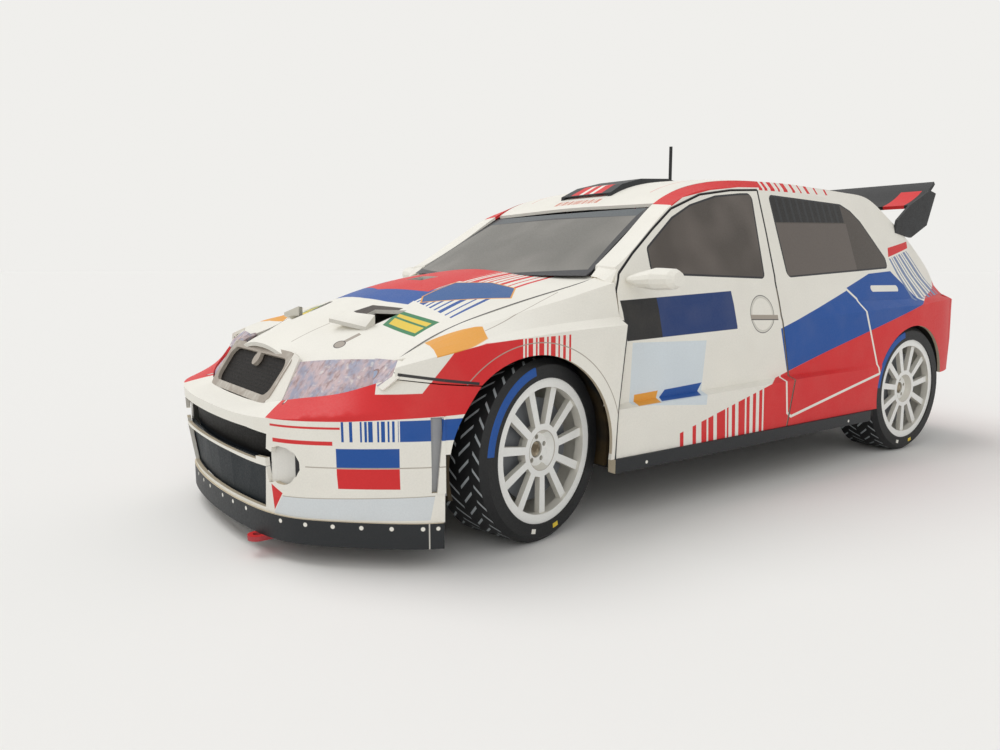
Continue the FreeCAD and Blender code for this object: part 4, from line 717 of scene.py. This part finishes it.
class CARD_OT_nose(bpy.types.Operator):
    """Prints the front bumper, its lip and the tow loop"""

    bl_idname = "card.nose"
    bl_label = "Front bumper"

    NOSE_BARS = ((46.222, 46.712), (44.672, 45.202), (42.918, 43.244), (42.02, 42.428), (41.0, 41.734),
                 (39.858, 40.184), (38.756, 39.45), (37.94, 38.266), (37.042, 37.45), (36.308, 36.512),
                 (19.172, 36.104))
    # Openings across and up, how far along the car each cut reaches, and lines of the plan.
    UPPER_SLOT = ((-20.0, 17.9), (-14.9, 18.2), (0.0, 18.1), (14.9, 18.2), (20.0, 17.9), (19.4, 14.5),
                  (9.5, 14.2), (0.0, 14.1), (-9.5, 14.2), (-19.4, 14.5))
    LOWER_SLOT = ((-19.3, 13.3), (-8.0, 13.5), (0.0, 13.5), (8.0, 13.5), (19.3, 13.3), (17.2, 7.0),
                  (-17.2, 7.0))
    DUCT_HOLE = ((20.7, 16.1), (22.0, 16.5), (23.2, 16.3), (24.2, 15.7), (24.7, 14.6), (24.7, 13.5),
                 (24.1, 12.5), (23.1, 11.9), (21.8, 11.7), (20.6, 11.9))
    NOSE_REACH = (76.0, 90.0)
    REAR_CORNER = ((30.0, 5.0), (40.0, 5.0), (40.0, 15.6), (30.0, 15.6))
    REAR_REACH = (50.0, 64.45)
    DUCT_WALL = ((81.6, 19.4), (81.3, 20.0), (80.6, 20.8), (79.8, 21.7), (78.9, 22.9), (77.9, 24.2),
                 (77.4, 25.6))
    SLIT_LINER = ((67.2, 34.2), (65.5, 34.9), (63.6, 35.3))
    SLIT_FOOT = ((64.3, 36.0, 10.4), (65.4, 35.6, 10.4))
    SLIT_HEAD = ((64.3, 36.0, 20.8), (64.45, 35.97, 20.8))
    PILLAR_LOW = ((31.3, 27.6, 38.35), (31.3, 29.0, 38.2), (31.25, 30.6, 37.7), (31.1, 31.9, 37.1))
    PILLAR_HIGH = ((29.7, 27.6, 39.9), (29.7, 29.0, 39.7), (29.7, 30.6, 39.6), (29.7, 31.9, 39.5))
    PANEL_LOW = ((82.5, 0.0), (82.3, 5.0), (81.9, 10.0), (81.4, 14.0), (80.9, 18.0))
    PANEL_HIGH = ((83.2, 0.0), (83.0, 6.0), (82.4, 10.5), (82.2, 13.5), (81.6, 19.5))

    def execute(self, context):
        # Printed card rolled round the nose: satin ink, and the pale core along its cut rims.
        sheet = Print("printed_card_front_bumper", "nose")
        sheet.patch("red", (62.7, 20.1), (46.0, 20.2), (32.6, 20.6), (20.0, 21.0), (20.0, 40.0),
                    (62.7, 40.0))
        blue = sheet.cover(sheet.depth([(60.0, 20.1), (46.0, 20.2), (32.6, 20.6), (18.0, 21.0),
                                        (18.0, 17.5), (60.0, 17.5)]))
        sheet.bars("blue", self.NOSE_BARS, sheet.across, blue)
        sheet.stroke("red", 0.3, (61.5, 19.3), (47.0, 19.3))
        sheet.patch("red", (61.0, 17.0), (48.5, 17.0), (48.5, 17.55), (61.0, 17.55))
        sheet.patch("blue", (47.9, 16.6), (36.3, 16.6), (36.3, 14.0), (47.9, 14.0))
        sheet.patch("red", (47.9, 13.9), (36.3, 13.9), (36.3, 11.1), (47.9, 11.1))
        sheet.stroke("grille", 0.14, (54.0, 14.0), (27.0, 14.0))
        sheet.patch("white", (41.0, 23.6), (32.2, 23.8), (30.0, 25.9), (30.0, 27.5), (41.0, 27.5))
        sheet.patch("red", (62.3, 10.9), (59.7, 9.8), (62.3, 7.0))
        # The recessed strip is painted a greyer, bluish white as its shade and the floor's reflection,
        # with a painted shadow line along its top edge.
        sheet.patch("strip", (59.8, 9.4), (30.1, 10.1), (31.0, 6.8), (62.6, 6.5))
        sheet.stroke("grille", 0.1, (59.8, 9.4), (30.1, 10.1))
        sheet.disc("line", (61.3, 21.6), 0.3)
        sheet.disc("white", (61.3, 21.6), 0.18)
        aged_edges(sheet)
        sheet.cut_edges((0, 0, 1), 0.9, below=False, face_up=1.1, top=19.0)
        self.bumper(sheet.finish())
        # Black printed card strip: dull ink, with rivet heads as white print.
        sheet = Print("black_card_lip", "side", "soft_black")
        sheet.stroke("shade_white", 0.14, (66.5, 6.4), (66.5, 2.9))
        rivets = [(83.7, 3.2), (83.5, 7.4), (83.1, 11.9), (81.2, 20.4), (79.1, 24.0), (76.5, 27.0),
                  (73.6, 29.7), (70.6, 32.5), (67.2, 34.9), (65.4, 35.8)]
        sheet.spots("white", 0.3, [(x, y, 5.7) for x, y in rivets])
        sheet.cut_edges((0, 0, 1), 0.9, below=False, face_up=1.1)
        dress(sheet.finish(rough=0.5), "front_lip")
        # Red printed card cut out with a knife: its cut side is a duller red.
        sheet = Print("printed_card_tow_loop", "plan", "red")
        sheet.cut_edges((0, 0, 1), 0.4, ink="dull_red")
        dress(sheet.finish(), "tow_hook")
        return {"FINISHED"}

    def bumper(self, material):
        """The bumper's card with its full intake openings, and the card inside its ducts."""
        cutters = [prism(slot, *self.NOSE_REACH) for slot in (self.UPPER_SLOT, self.LOWER_SLOT)]
        for way in (1, -1):
            for outline, reach in ((self.DUCT_HOLE, self.NOSE_REACH),
                                   (self.REAR_CORNER, self.REAR_REACH)):
                cutters.append(prism([(way * y, z) for y, z in outline], *reach))
        piece = carved("bumper_skin", "front_bumper", cutters)
        piece.data.materials.clear()
        piece.data.materials.append(material)
        # Bare card inside the ducts: paler and duller than ink, with a painted shadow on the duct wall
        # more than 22.3 mm out, where a duct turns inward.
        sheet = Print("bare_card_duct_wall", "behind", "duct")
        sheet.patch("line", (22.3, 0.0), (30.0, 0.0), (30.0, 30.0), (22.3, 30.0))
        duct = sheet.finish()
        # The slit's liner is plain grey: painted shade inside the slit.
        liner = Print("grey_card_slit_shade", "behind", "liner").finish()
        card_pairs(
            ("duct_wall", *self.upright(self.DUCT_WALL, 10.6, 17.2), LINER_CARD, duct),
            ("slit_liner", *self.upright(self.SLIT_LINER, 9.8, 21.2), LINER_CARD, liner),
            ("slit_edge", self.SLIT_FOOT, self.SLIT_HEAD, PLATE_CARD, material),
            ("pillar_foot", self.PILLAR_LOW, self.PILLAR_HIGH, PLATE_CARD,
             frame["nodes"]["fender_left"].data.materials[0]))
        rows = [[(x, -y, z) for x, y in reversed(row[1:])] + [(x, y, z) for x, y in row]
                for row, z in ((self.PANEL_LOW, 6.6), (self.PANEL_HIGH, 13.8))]
        # Printed card close behind the lower intake: flat blue-black ink, almost without sheen.
        sheet = Print("printed_card_intake_panel", "behind", "intake")
        sheet_between("intake_panel", *rows, LINER_CARD, sheet.finish(specular=0.2))

    def upright(self, plan, low, high):
        """The foot and the head of a sheet that stands upright on a line of the plan."""
        return [[(x, y, z) for x, y in plan] for z in (low, high)]


class CARD_OT_grille(bpy.types.Operator):
    """Prints the grille, the intake and the headlamps"""

    bl_idname = "card.grille"
    bl_label = "Grille and headlamps"

    # Half a mesh line's width, as a share of the mesh's pitch.
    WIRE_SHARE = 0.17
    # The lamp's outer corner, and the flange that joins it to the wing.
    LAMP_TOP = ((68.9, 25.5, 27.6), (68.1, 30.5, 27.75), (69.9, 32.3, 26.0))
    LAMP_LOW = ((71.3, 29.5, 24.75), (71.25, 30.1, 24.7), (71.2, 30.8, 24.6))
    FLANGE_FOLD = ((68.1, 30.5, 27.75), (69.9, 32.3, 26.0), (71.2, 30.8, 24.6))
    FLANGE_WING = ((67.7, 32.9, 27.6), (69.6, 33.4, 26.0), (71.1, 31.8, 24.2))
    LAMP_BOWL = (28.0, 25.6)

    def execute(self, context):
        # Printed card frame: grey-brown ink of uneven tone, as a printed picture of metal has.
        sheet = Print("printed_card_grille_frame", "behind", "grille")
        sheet.blotches("shade_white", 2.5, 0.5, 0.9)
        dress(sheet.finish(), "grille_frame")
        # Mesh as print: dark ink without sheen under a lattice, drawn coarser than its real 0.25 mm.
        for node, pitch, ground, wire in (("grille_mesh", 0.5, "mesh", "mesh_line"),
                                          ("intake_mesh", 0.9, "intake", "slate")):
            sheet = Print(f"printed_card_{node}", "behind", ground)
            for value in (sheet.across, sheet.up):
                wave = add(sheet.tree, MATH, {0: value, 1: pitch / 2}, operation="PINGPONG")
                sheet.lay(sheet.cover(wave, -1.0, pitch * self.WIRE_SHARE), wire)
            if node == "intake_mesh":
                sheet.patch("mesh_line", (-40.0, 30.0), (40.0, 30.0), (40.0, 13.9), (-40.0, 13.9))
            dress(sheet.finish(rough=0.5, specular=0.12), node)
        # A lamp as print: mixed pink, blue and brown tones in slightly glossier ink.
        sheet = Print("printed_card_headlamp", "behind", "lamp_pink")
        sheet.blotches("lamp_blue", 1.5, 0.42, 0.62, 3.0, (1, 1.1, 0.4), most=0.75)
        sheet.blotches("lamp_brown", 1.0, 0.5, 0.7, 3.0, (1, 1.3, 0.3), most=0.7)
        sheet.blotches("white", 0.8, 0.58, 0.72, 2.0, (1, 0.8, 0.6), most=0.5)
        sheet.disc("lamp_blue", self.LAMP_BOWL, 0.75)
        sheet.ring("lamp_brown", sheet.away(self.LAMP_BOWL), 0.85, 0.22)
        lamp = sheet.finish(rough=0.42)
        dress(lamp, *both("headlight"))
        card_pairs(("lamp_corner", self.LAMP_TOP, self.LAMP_LOW, CORNER_CARD, lamp),
                   ("lamp_flange", self.FLANGE_FOLD, self.FLANGE_WING, CORNER_CARD,
                    frame["nodes"]["fender_left"].data.materials[0]))
        # Plain white card beside the grille: satin, with no print at all.
        sheet = Print("printed_card_grille_side", "plan")
        dress(sheet.finish(), *both("grille_strip"))
        return {"FINISHED"}


class CARD_OT_glazing(bpy.types.Operator):
    """Prints the windscreen, the side windows and the tailgate glass"""

    bl_idname = "card.glazing"
    bl_label = "Windows"

    def execute(self, context):
        # Windows as print: dense warm grey ink, smoother than the rest, so broad light shows on it.
        sheet = Print("printed_card_front_window", "side", "window")
        # Lighter blotches over the ink are painted highlights.
        sheet.blotches("window_light", 9.0, 0.42, 0.72, 1.0)
        sheet.outline("line", 0.7, *FRONT_PANE)
        dress(sheet.finish(rough=0.46), *both("front_window"))
        # The same ink, with slats printed over its top.
        sheet = Print("printed_card_rear_window", "side", "window")
        sheet.patch("window_light", (-14.5, 48.2), (-39.1, 48.8), (-38.7, 39.0), (-14.1, 38.0))
        slats = [(-x - 1.5, -x) for x in (15.0, 17.2, 19.4, 21.6, 23.8, 26.0, 28.2, 30.4, 32.6, 34.8,
                                         37.0)]
        clip = sheet.cover(sheet.depth([(-14.4, 48.4), (-38.6, 49.0), (-38.6, 60.0), (-14.4, 60.0)]))
        sheet.lay(clip, "soft_black")
        sheet.bars("mesh_line", slats, sheet.across, clip)
        sheet.outline("line", 0.7, *REAR_PANE)
        dress(sheet.finish(rough=0.46), *both("rear_window"))
        # The windscreen's ink is a paler grey, with a blue-grey band along its top.
        sheet = Print("printed_card_windscreen", "behind", "screen")
        # Lighter blotches over the ink are painted highlights.
        sheet.blotches("screen_light", 10.0, 0.4, 0.75, 1.0)
        pane = ((-40.0, 49.4), (22.0, 48.9), (26.2, 39.6), (8.0, 38.8), (-40.0, 38.6))
        sheet.lay(sheet.cover(sheet.depth(pane), -1.0), "line")
        sheet.patch("band", (-1.0, 49.4), (22.0, 48.9), (22.0, 60.0), (-1.0, 60.0))
        dress(sheet.finish(rough=0.46), "windscreen")
        # The side windows' ink again, so that the tail looks as dark as they do.
        sheet = Print("printed_card_tailgate_glass", "behind", "window")
        # Lighter blotches over the ink are painted highlights.
        sheet.blotches("window_light", 9.0, 0.42, 0.72, 1.0)
        dress(sheet.finish(rough=0.46), "tailgate_glass")
        return {"FINISHED"}


class CARD_OT_tail(bpy.types.Operator):
    """Prints the tailgate, the rear bumper, the tail lamps and the rear wing"""

    bl_idname = "card.tail"
    bl_label = "Tail"

    def execute(self, context):
        # Printed card, folded: satin ink, as on the side panels that it meets.
        sheet = Print("printed_card_tailgate", "behind")
        sheet.patch("blue", (-1.0, 38.6), (27.7, 40.4), (27.7, 37.0), (-1.0, 35.4))
        aged_edges(sheet)
        dress(sheet.finish(), "tailgate")
        # Red printed card rolled round the tail: satin ink, and the pale core underneath.
        sheet = Print("printed_card_rear_bumper", "behind", "red")
        aged_edges(sheet)
        sheet.cut_edges((0, 0, 1), 0.9, below=False)
        dress(sheet.finish(), "rear_bumper")
        # A lamp as print: deep red in slightly glossier ink.
        sheet = Print("printed_card_tail_lamp", "behind", "tail")
        sheet.patch("lamp_pink", (21.5, 37.8), (27.5, 37.8), (27.5, 36.0), (21.5, 36.0))
        dress(sheet.finish(rough=0.42), *both("tail_light"))
        # Black printed card, glued double: dull dense ink.
        sheet = Print("black_card_rear_wing", "plan", "black")
        sheet.patch("red", (-66.0, 21.0), (-74.0, 21.0), (-74.0, 26.0), (-66.0, 26.0))
        dress(sheet.finish(rough=0.5), "wing_blade")
        # The end plates' black is blotched, as where glue has soaked through.
        sheet = Print("black_card_end_plate", "side", "black")
        sheet.blotches("soft_black", 3.0, 0.4, 0.7)
        dress(sheet.finish(rough=0.5), *both("wing_plate"))
        return {"FINISHED"}


class CARD_OT_trim(bpy.types.Operator):
    """Prints the sills and the mirrors"""

    bl_idname = "card.trim"
    bl_label = "Sills and mirrors"

    def execute(self, context):
        # Black printed card strip: dull ink, a printed rivet near each end, pale cut edges.
        sheet = Print("black_card_sill", "side", "soft_black")
        sheet.spots("white", 0.27, [(27.1, 36.6, 9.3), (-30.4, 36.6, 9.3)])
        sheet.cut_edges((0, 1, 0), 0.2)
        dress(sheet.finish(rough=0.5), *both("sill"))
        # White card, folded and rounded by hand: satin, its shading from the folds alone.
        sheet = Print("printed_card_mirror", "side")
        dress(sheet.finish(), *both("mirror"))
        return {"FINISHED"}


class CARD_OT_wheels(bpy.types.Operator):
    """Prints the tyres, rims and brake discs"""

    bl_idname = "card.wheels"
    bl_label = "Wheels"

    # How far from the middle of its row a dash of the tread reaches, as a share of the row.
    DASH_REACH = 0.37
    # The outer wall starts this far out from the tyre's middle.
    WALL = 4.0
    # Each sticker's ink, its reach from the axle and its arc.
    STICKERS = (("blue", (11.5, 12.75), (0.1, 1.36)), ("white", (11.4, 12.1), (-1.36, -1.28)),
                ("yellow", (11.4, 12.1), (-1.81, -1.71)))
    CUP_RADIUS = 2.97

    def execute(self, context):
        for side, mirror in zip(SIDES, (1, -1)):
            for end in ("front", "rear"):
                low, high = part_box(f"{end}_tyre_{side}")
                middle = (low + high) / 2 * PER_METRE
                turn = STEER if end == "front" else 0.0
                self.tyre(f"{end}_tyre_{side}", middle, turn, mirror)
                self.rim(f"{end}_rim_{side}", middle, turn)
        # Printed card disc: plain grey ink, a little smoother than the livery.
        sheet = Print("printed_card_brake_disc", "side", "disc")
        dress(sheet.finish(rough=0.4), *both("front_brake_disc"), *both("rear_brake_disc"))
        return {"FINISHED"}

    def polar(self, sheet):
        """Distance from the axle, the angle round it, and the way across, in millimetres."""
        parts = add(sheet.tree, "ShaderNodeSeparateXYZ", {0: sheet.place})
        east, across, up = [parts.outputs[name] for name in "XYZ"]
        flat = add(sheet.tree, "ShaderNodeCombineXYZ", {"X": east, "Z": up})
        radial = add(sheet.tree, VECTOR, {0: flat}, operation="LENGTH")
        return radial, add(sheet.tree, MATH, {0: up, 1: east}, operation="ARCTAN2"), across

    def tyre(self, node, middle, turn, mirror):
        """Black card drum: dull ink, a printed tread, and small stickers on its outer wall."""
        sheet = Print(f"printed_card_{node}", "side", "tyre", middle, turn)
        tree = sheet.tree
        radial, angle, across = self.polar(sheet)
        around = add(tree, MATH, {0: angle, 1: WHEEL_RADIUS}, operation="MULTIPLY")
        rows = add(tree, MATH, {0: across, 1: 1 / TREAD_ROW, 2: ROWS_ASIDE}, operation="MULTIPLY_ADD")
        index = add(tree, MATH, {0: rows}, operation="FLOOR")
        part = add(tree, MATH, {0: rows, 1: index}, operation="SUBTRACT")
        part = add(tree, MATH, {0: part, 1: 0.5}, operation="SUBTRACT")
        # Rows slant left and right by turns, half a pitch apart.
        odd = add(tree, MATH, {0: index, 1: 2.0}, operation="MODULO")
        lean = add(tree, MATH, {0: odd, 1: 2.0, 2: -1.0}, operation="MULTIPLY_ADD")
        slant = add(tree, MATH, {0: part, 1: TREAD_ROW, 2: TREAD_PITCH / 4}, operation="MULTIPLY_ADD")
        way = add(tree, MATH, {0: slant, 1: lean, 2: around}, operation="MULTIPLY_ADD")
        way = add(tree, MATH, {0: way, 1: AROUND_ASIDE}, operation="ADD")
        gap = add(tree, MATH, {0: way, 1: TREAD_PITCH / 2}, operation="PINGPONG")
        marks = sheet.cover(gap, -1.0, TREAD_DASH / 2)
        for value, limit, test in ((part, self.DASH_REACH, "LESS_THAN"),
                                   (across, TREAD_HALF_WIDTH, "LESS_THAN"),
                                   (radial, WHEEL_RADIUS - 0.35, "GREATER_THAN")):
            size = add(tree, MATH, {0: value}, operation="ABSOLUTE")
            inside = add(tree, MATH, {0: size, 1: limit}, operation=test)
            marks = add(tree, MATH, {0: marks, 1: inside}, operation="MULTIPLY")
        sheet.lay(marks, "tread")
        outward = add(tree, MATH, {0: across, 1: mirror}, operation="MULTIPLY")
        wall = add(tree, MATH, {0: outward, 1: self.WALL}, operation="GREATER_THAN")
        for ink, reach, arc in self.STICKERS:
            cover = wall
            for value, (low, high) in ((radial, reach), (angle, arc)):
                span = add(tree, MATH, {0: value, 1: (low + high) / 2, 2: (high - low) / 2},
                           operation="COMPARE")
                cover = add(tree, MATH, {0: cover, 1: span}, operation="MULTIPLY")
            sheet.lay(cover, ink)
        dress(sheet.finish(rough=0.55, fibre=0.02), node)

    def rim(self, node, middle, turn):
        """White card disc with spokes cut out by knife: satin face, shaded cut sides."""
        sheet = Print(f"white_card_{node}", "side", "rim", middle, turn)
        sheet.ring("grille", self.polar(sheet)[0], self.CUP_RADIUS, 0.1)
        sheet.cut_edges((0, 1, 0), 0.5, ink="shade_white", face_up=1.1)
        dress(sheet.finish(rough=0.5), node)


class CARD_OT_inner(bpy.types.Operator):
    """Colours the housings, axles and floor"""

    bl_idname = "card.inner"
    bl_label = "Inner parts"

    def execute(self, context):
        # Card painted inside the front openings: matt olive brown, blotched.
        sheet = Print("dark_card_housing", "side", "inner")
        sheet.blotches("soft_black", 6.0, 0.4, 0.7)
        dress(sheet.finish(rough=0.7, specular=0.2), *both("front_wheel_housing"))
        # Dark card behind and below: matt and nearly black, so that nothing there draws the eye.
        sheet = Print("dark_card_floor", "side", "rear_inner")
        sheet.blotches("black", 6.0, 0.4, 0.7)
        dress(sheet.finish(rough=0.7, specular=0.2), *both("rear_wheel_housing"), "floor")
        # Bare card rolled round a stick: brown and matt, spotted by glue.
        sheet = Print("rolled_card_axle", "side", "axle")
        sheet.blotches("core", 1.2, 0.4, 0.7)
        dress(sheet.finish(rough=0.7), *both("knuckle"), "front_axle", "rear_axle")
        return {"FINISHED"}


class CARD_OT_stage(bpy.types.Operator):
    """Makes the floor, the light and the camera"""

    bl_idname = "card.stage"
    bl_label = "Stage"

    # The camera's place in metres, solved from the photograph's wheels and corners.
    CAMERA = (0.119, 0.1238, 0.0403)

    def execute(self, context):
        self.floor(context.scene)
        self.light(context.scene)
        self.camera(context.scene)
        return {"FINISHED"}

    def floor(self, scene):
        """A pale round floor that keeps the car's shadow."""
        mesh = bpy.data.meshes.new("floor_sheet")
        steps = 96
        reach = scene.card_stage.floor_radius
        ring = [(reach * math.cos(math.tau * i / steps), reach * math.sin(math.tau * i / steps), 0.0)
                for i in range(steps)]
        mesh.from_pydata(ring, [], [tuple(range(steps))])
        floor = bpy.data.objects.new("floor_sheet", mesh)
        scene.collection.objects.link(floor)
        material = bpy.data.materials.new("matt_paper_floor")
        material.use_nodes = True
        tree = material.node_tree
        place = add(tree, "ShaderNodeTexCoord").outputs["Object"]
        # Matt drawing paper, pressed: tooth of about 1 mm, so shallow that only its softness shows.
        noise = add(tree, "ShaderNodeTexNoise", {"Vector": place, "Scale": 900.0, "Detail": 2.0})
        shader = tree.nodes["Principled BSDF"]
        bump = add(tree, "ShaderNodeBump", {"Strength": 0.2, "Distance": 0.05 * MM, "Height": noise})
        shader.inputs["Base Color"].default_value = (*scene.card_colours.floor, 1.0)
        shader.inputs["Roughness"].default_value = 0.9
        shader.inputs["Specular IOR Level"].default_value = 0.1
        tree.links.new(bump.outputs[0], shader.inputs["Normal"])
        mesh.materials.append(material)

    def light(self, scene):
        """An even pale room with a wide soft light from above and a weaker one from the front."""
        world = bpy.data.worlds.new("pale_room")
        scene.world = world
        world.use_nodes = True
        tree = world.node_tree
        tree.nodes.clear()
        # The camera and reflections see the floor's colour all round.
        path = add(tree, "ShaderNodeLightPath")
        seen = path.outputs["Is Camera Ray"]
        for ray in ("Is Glossy Ray", "Is Transmission Ray"):
            seen = add(tree, MATH, {0: seen, 1: path.outputs[ray]}, operation="MAXIMUM")
        lit = add(tree, "ShaderNodeBackground", {0: (1, 1, 1, 1), 1: scene.card_stage.sky})
        shown = add(tree, "ShaderNodeBackground", {0: (*scene.card_colours.floor, 1),
                                                   1: scene.card_stage.backdrop})
        mixed = add(tree, "ShaderNodeMixShader", {0: seen, 1: lit, 2: shown})
        add(tree, "ShaderNodeOutputWorld", {0: mixed})
        for name, place, spread, share in (("light_above", (0.25, -0.5, 1.0), 40, 1.0),
                                           ("light_front", (0.6, 0.8, 0.55), 70, 0.4)):
            data = bpy.data.lights.new(name, "SUN")
            data.angle = math.radians(spread)
            data.energy = scene.card_stage.lamp * share
            lamp = bpy.data.objects.new(name, data)
            lamp.location = place
            lamp.rotation_euler = (-Vector(place)).to_track_quat("-Z", "Y").to_euler()
            scene.collection.objects.link(lamp)

    def camera(self, scene):
        """The photograph's point of view."""
        stage = scene.card_stage
        flat = math.cos(stage.elevation)
        gaze = Vector((flat * math.cos(stage.azimuth), flat * math.sin(stage.azimuth),
                       math.sin(stage.elevation)))
        data = bpy.data.cameras.new("camera")
        data.lens = stage.lens
        data.sensor_width = 36
        data.clip_start = MM
        camera = bpy.data.objects.new("camera", data)
        camera.location = self.CAMERA
        camera.rotation_euler = (-gaze).to_track_quat("-Z", "Y").to_euler()
        scene.collection.objects.link(camera)
        scene.camera = camera
        scene.view_settings.view_transform = "Standard"


OPERATORS = (CARD_OT_flanks, CARD_OT_wings, CARD_OT_bonnet, CARD_OT_roof, CARD_OT_nose,
             CARD_OT_grille, CARD_OT_glazing, CARD_OT_tail, CARD_OT_trim, CARD_OT_wheels,
             CARD_OT_inner, CARD_OT_stage)
GROUPS = (("card_colours", CardColours), ("card_paper", CardPaper), ("card_stage", CardStage))


class CARD_PT_pieces(bpy.types.Panel):
    """Lists the pieces of the card car"""

    bl_idname = "CARD_PT_pieces"
    bl_label = "Card rally car"
    bl_space_type = "VIEW_3D"
    bl_region_type = "UI"
    bl_category = "Card car"

    def draw(self, context):
        for operator in OPERATORS:
            self.layout.operator(operator.bl_idname)
        for group, kind in GROUPS:
            box = self.layout.box()
            for name in kind.__annotations__:
                box.prop(getattr(context.scene, group), name)


def register():
    """Registers the add-on's classes and its settings."""
    for name, kind in GROUPS:
        bpy.utils.register_class(kind)
        setattr(bpy.types.Scene, name, bpy.props.PointerProperty(type=kind))
    for kind in (*OPERATORS, CARD_PT_pieces):
        bpy.utils.register_class(kind)


def unregister():
    """Takes the add-on's classes and settings out again."""
    for kind in (CARD_PT_pieces, *reversed(OPERATORS)):
        bpy.utils.unregister_class(kind)
    for name, kind in reversed(GROUPS):
        delattr(bpy.types.Scene, name)
        bpy.utils.unregister_class(kind)


def main():
    register()
    for operator in OPERATORS:
        group, name = operator.bl_idname.split(".")
        getattr(getattr(bpy.ops, group), name)()


if __name__ == "__main__":
    main()
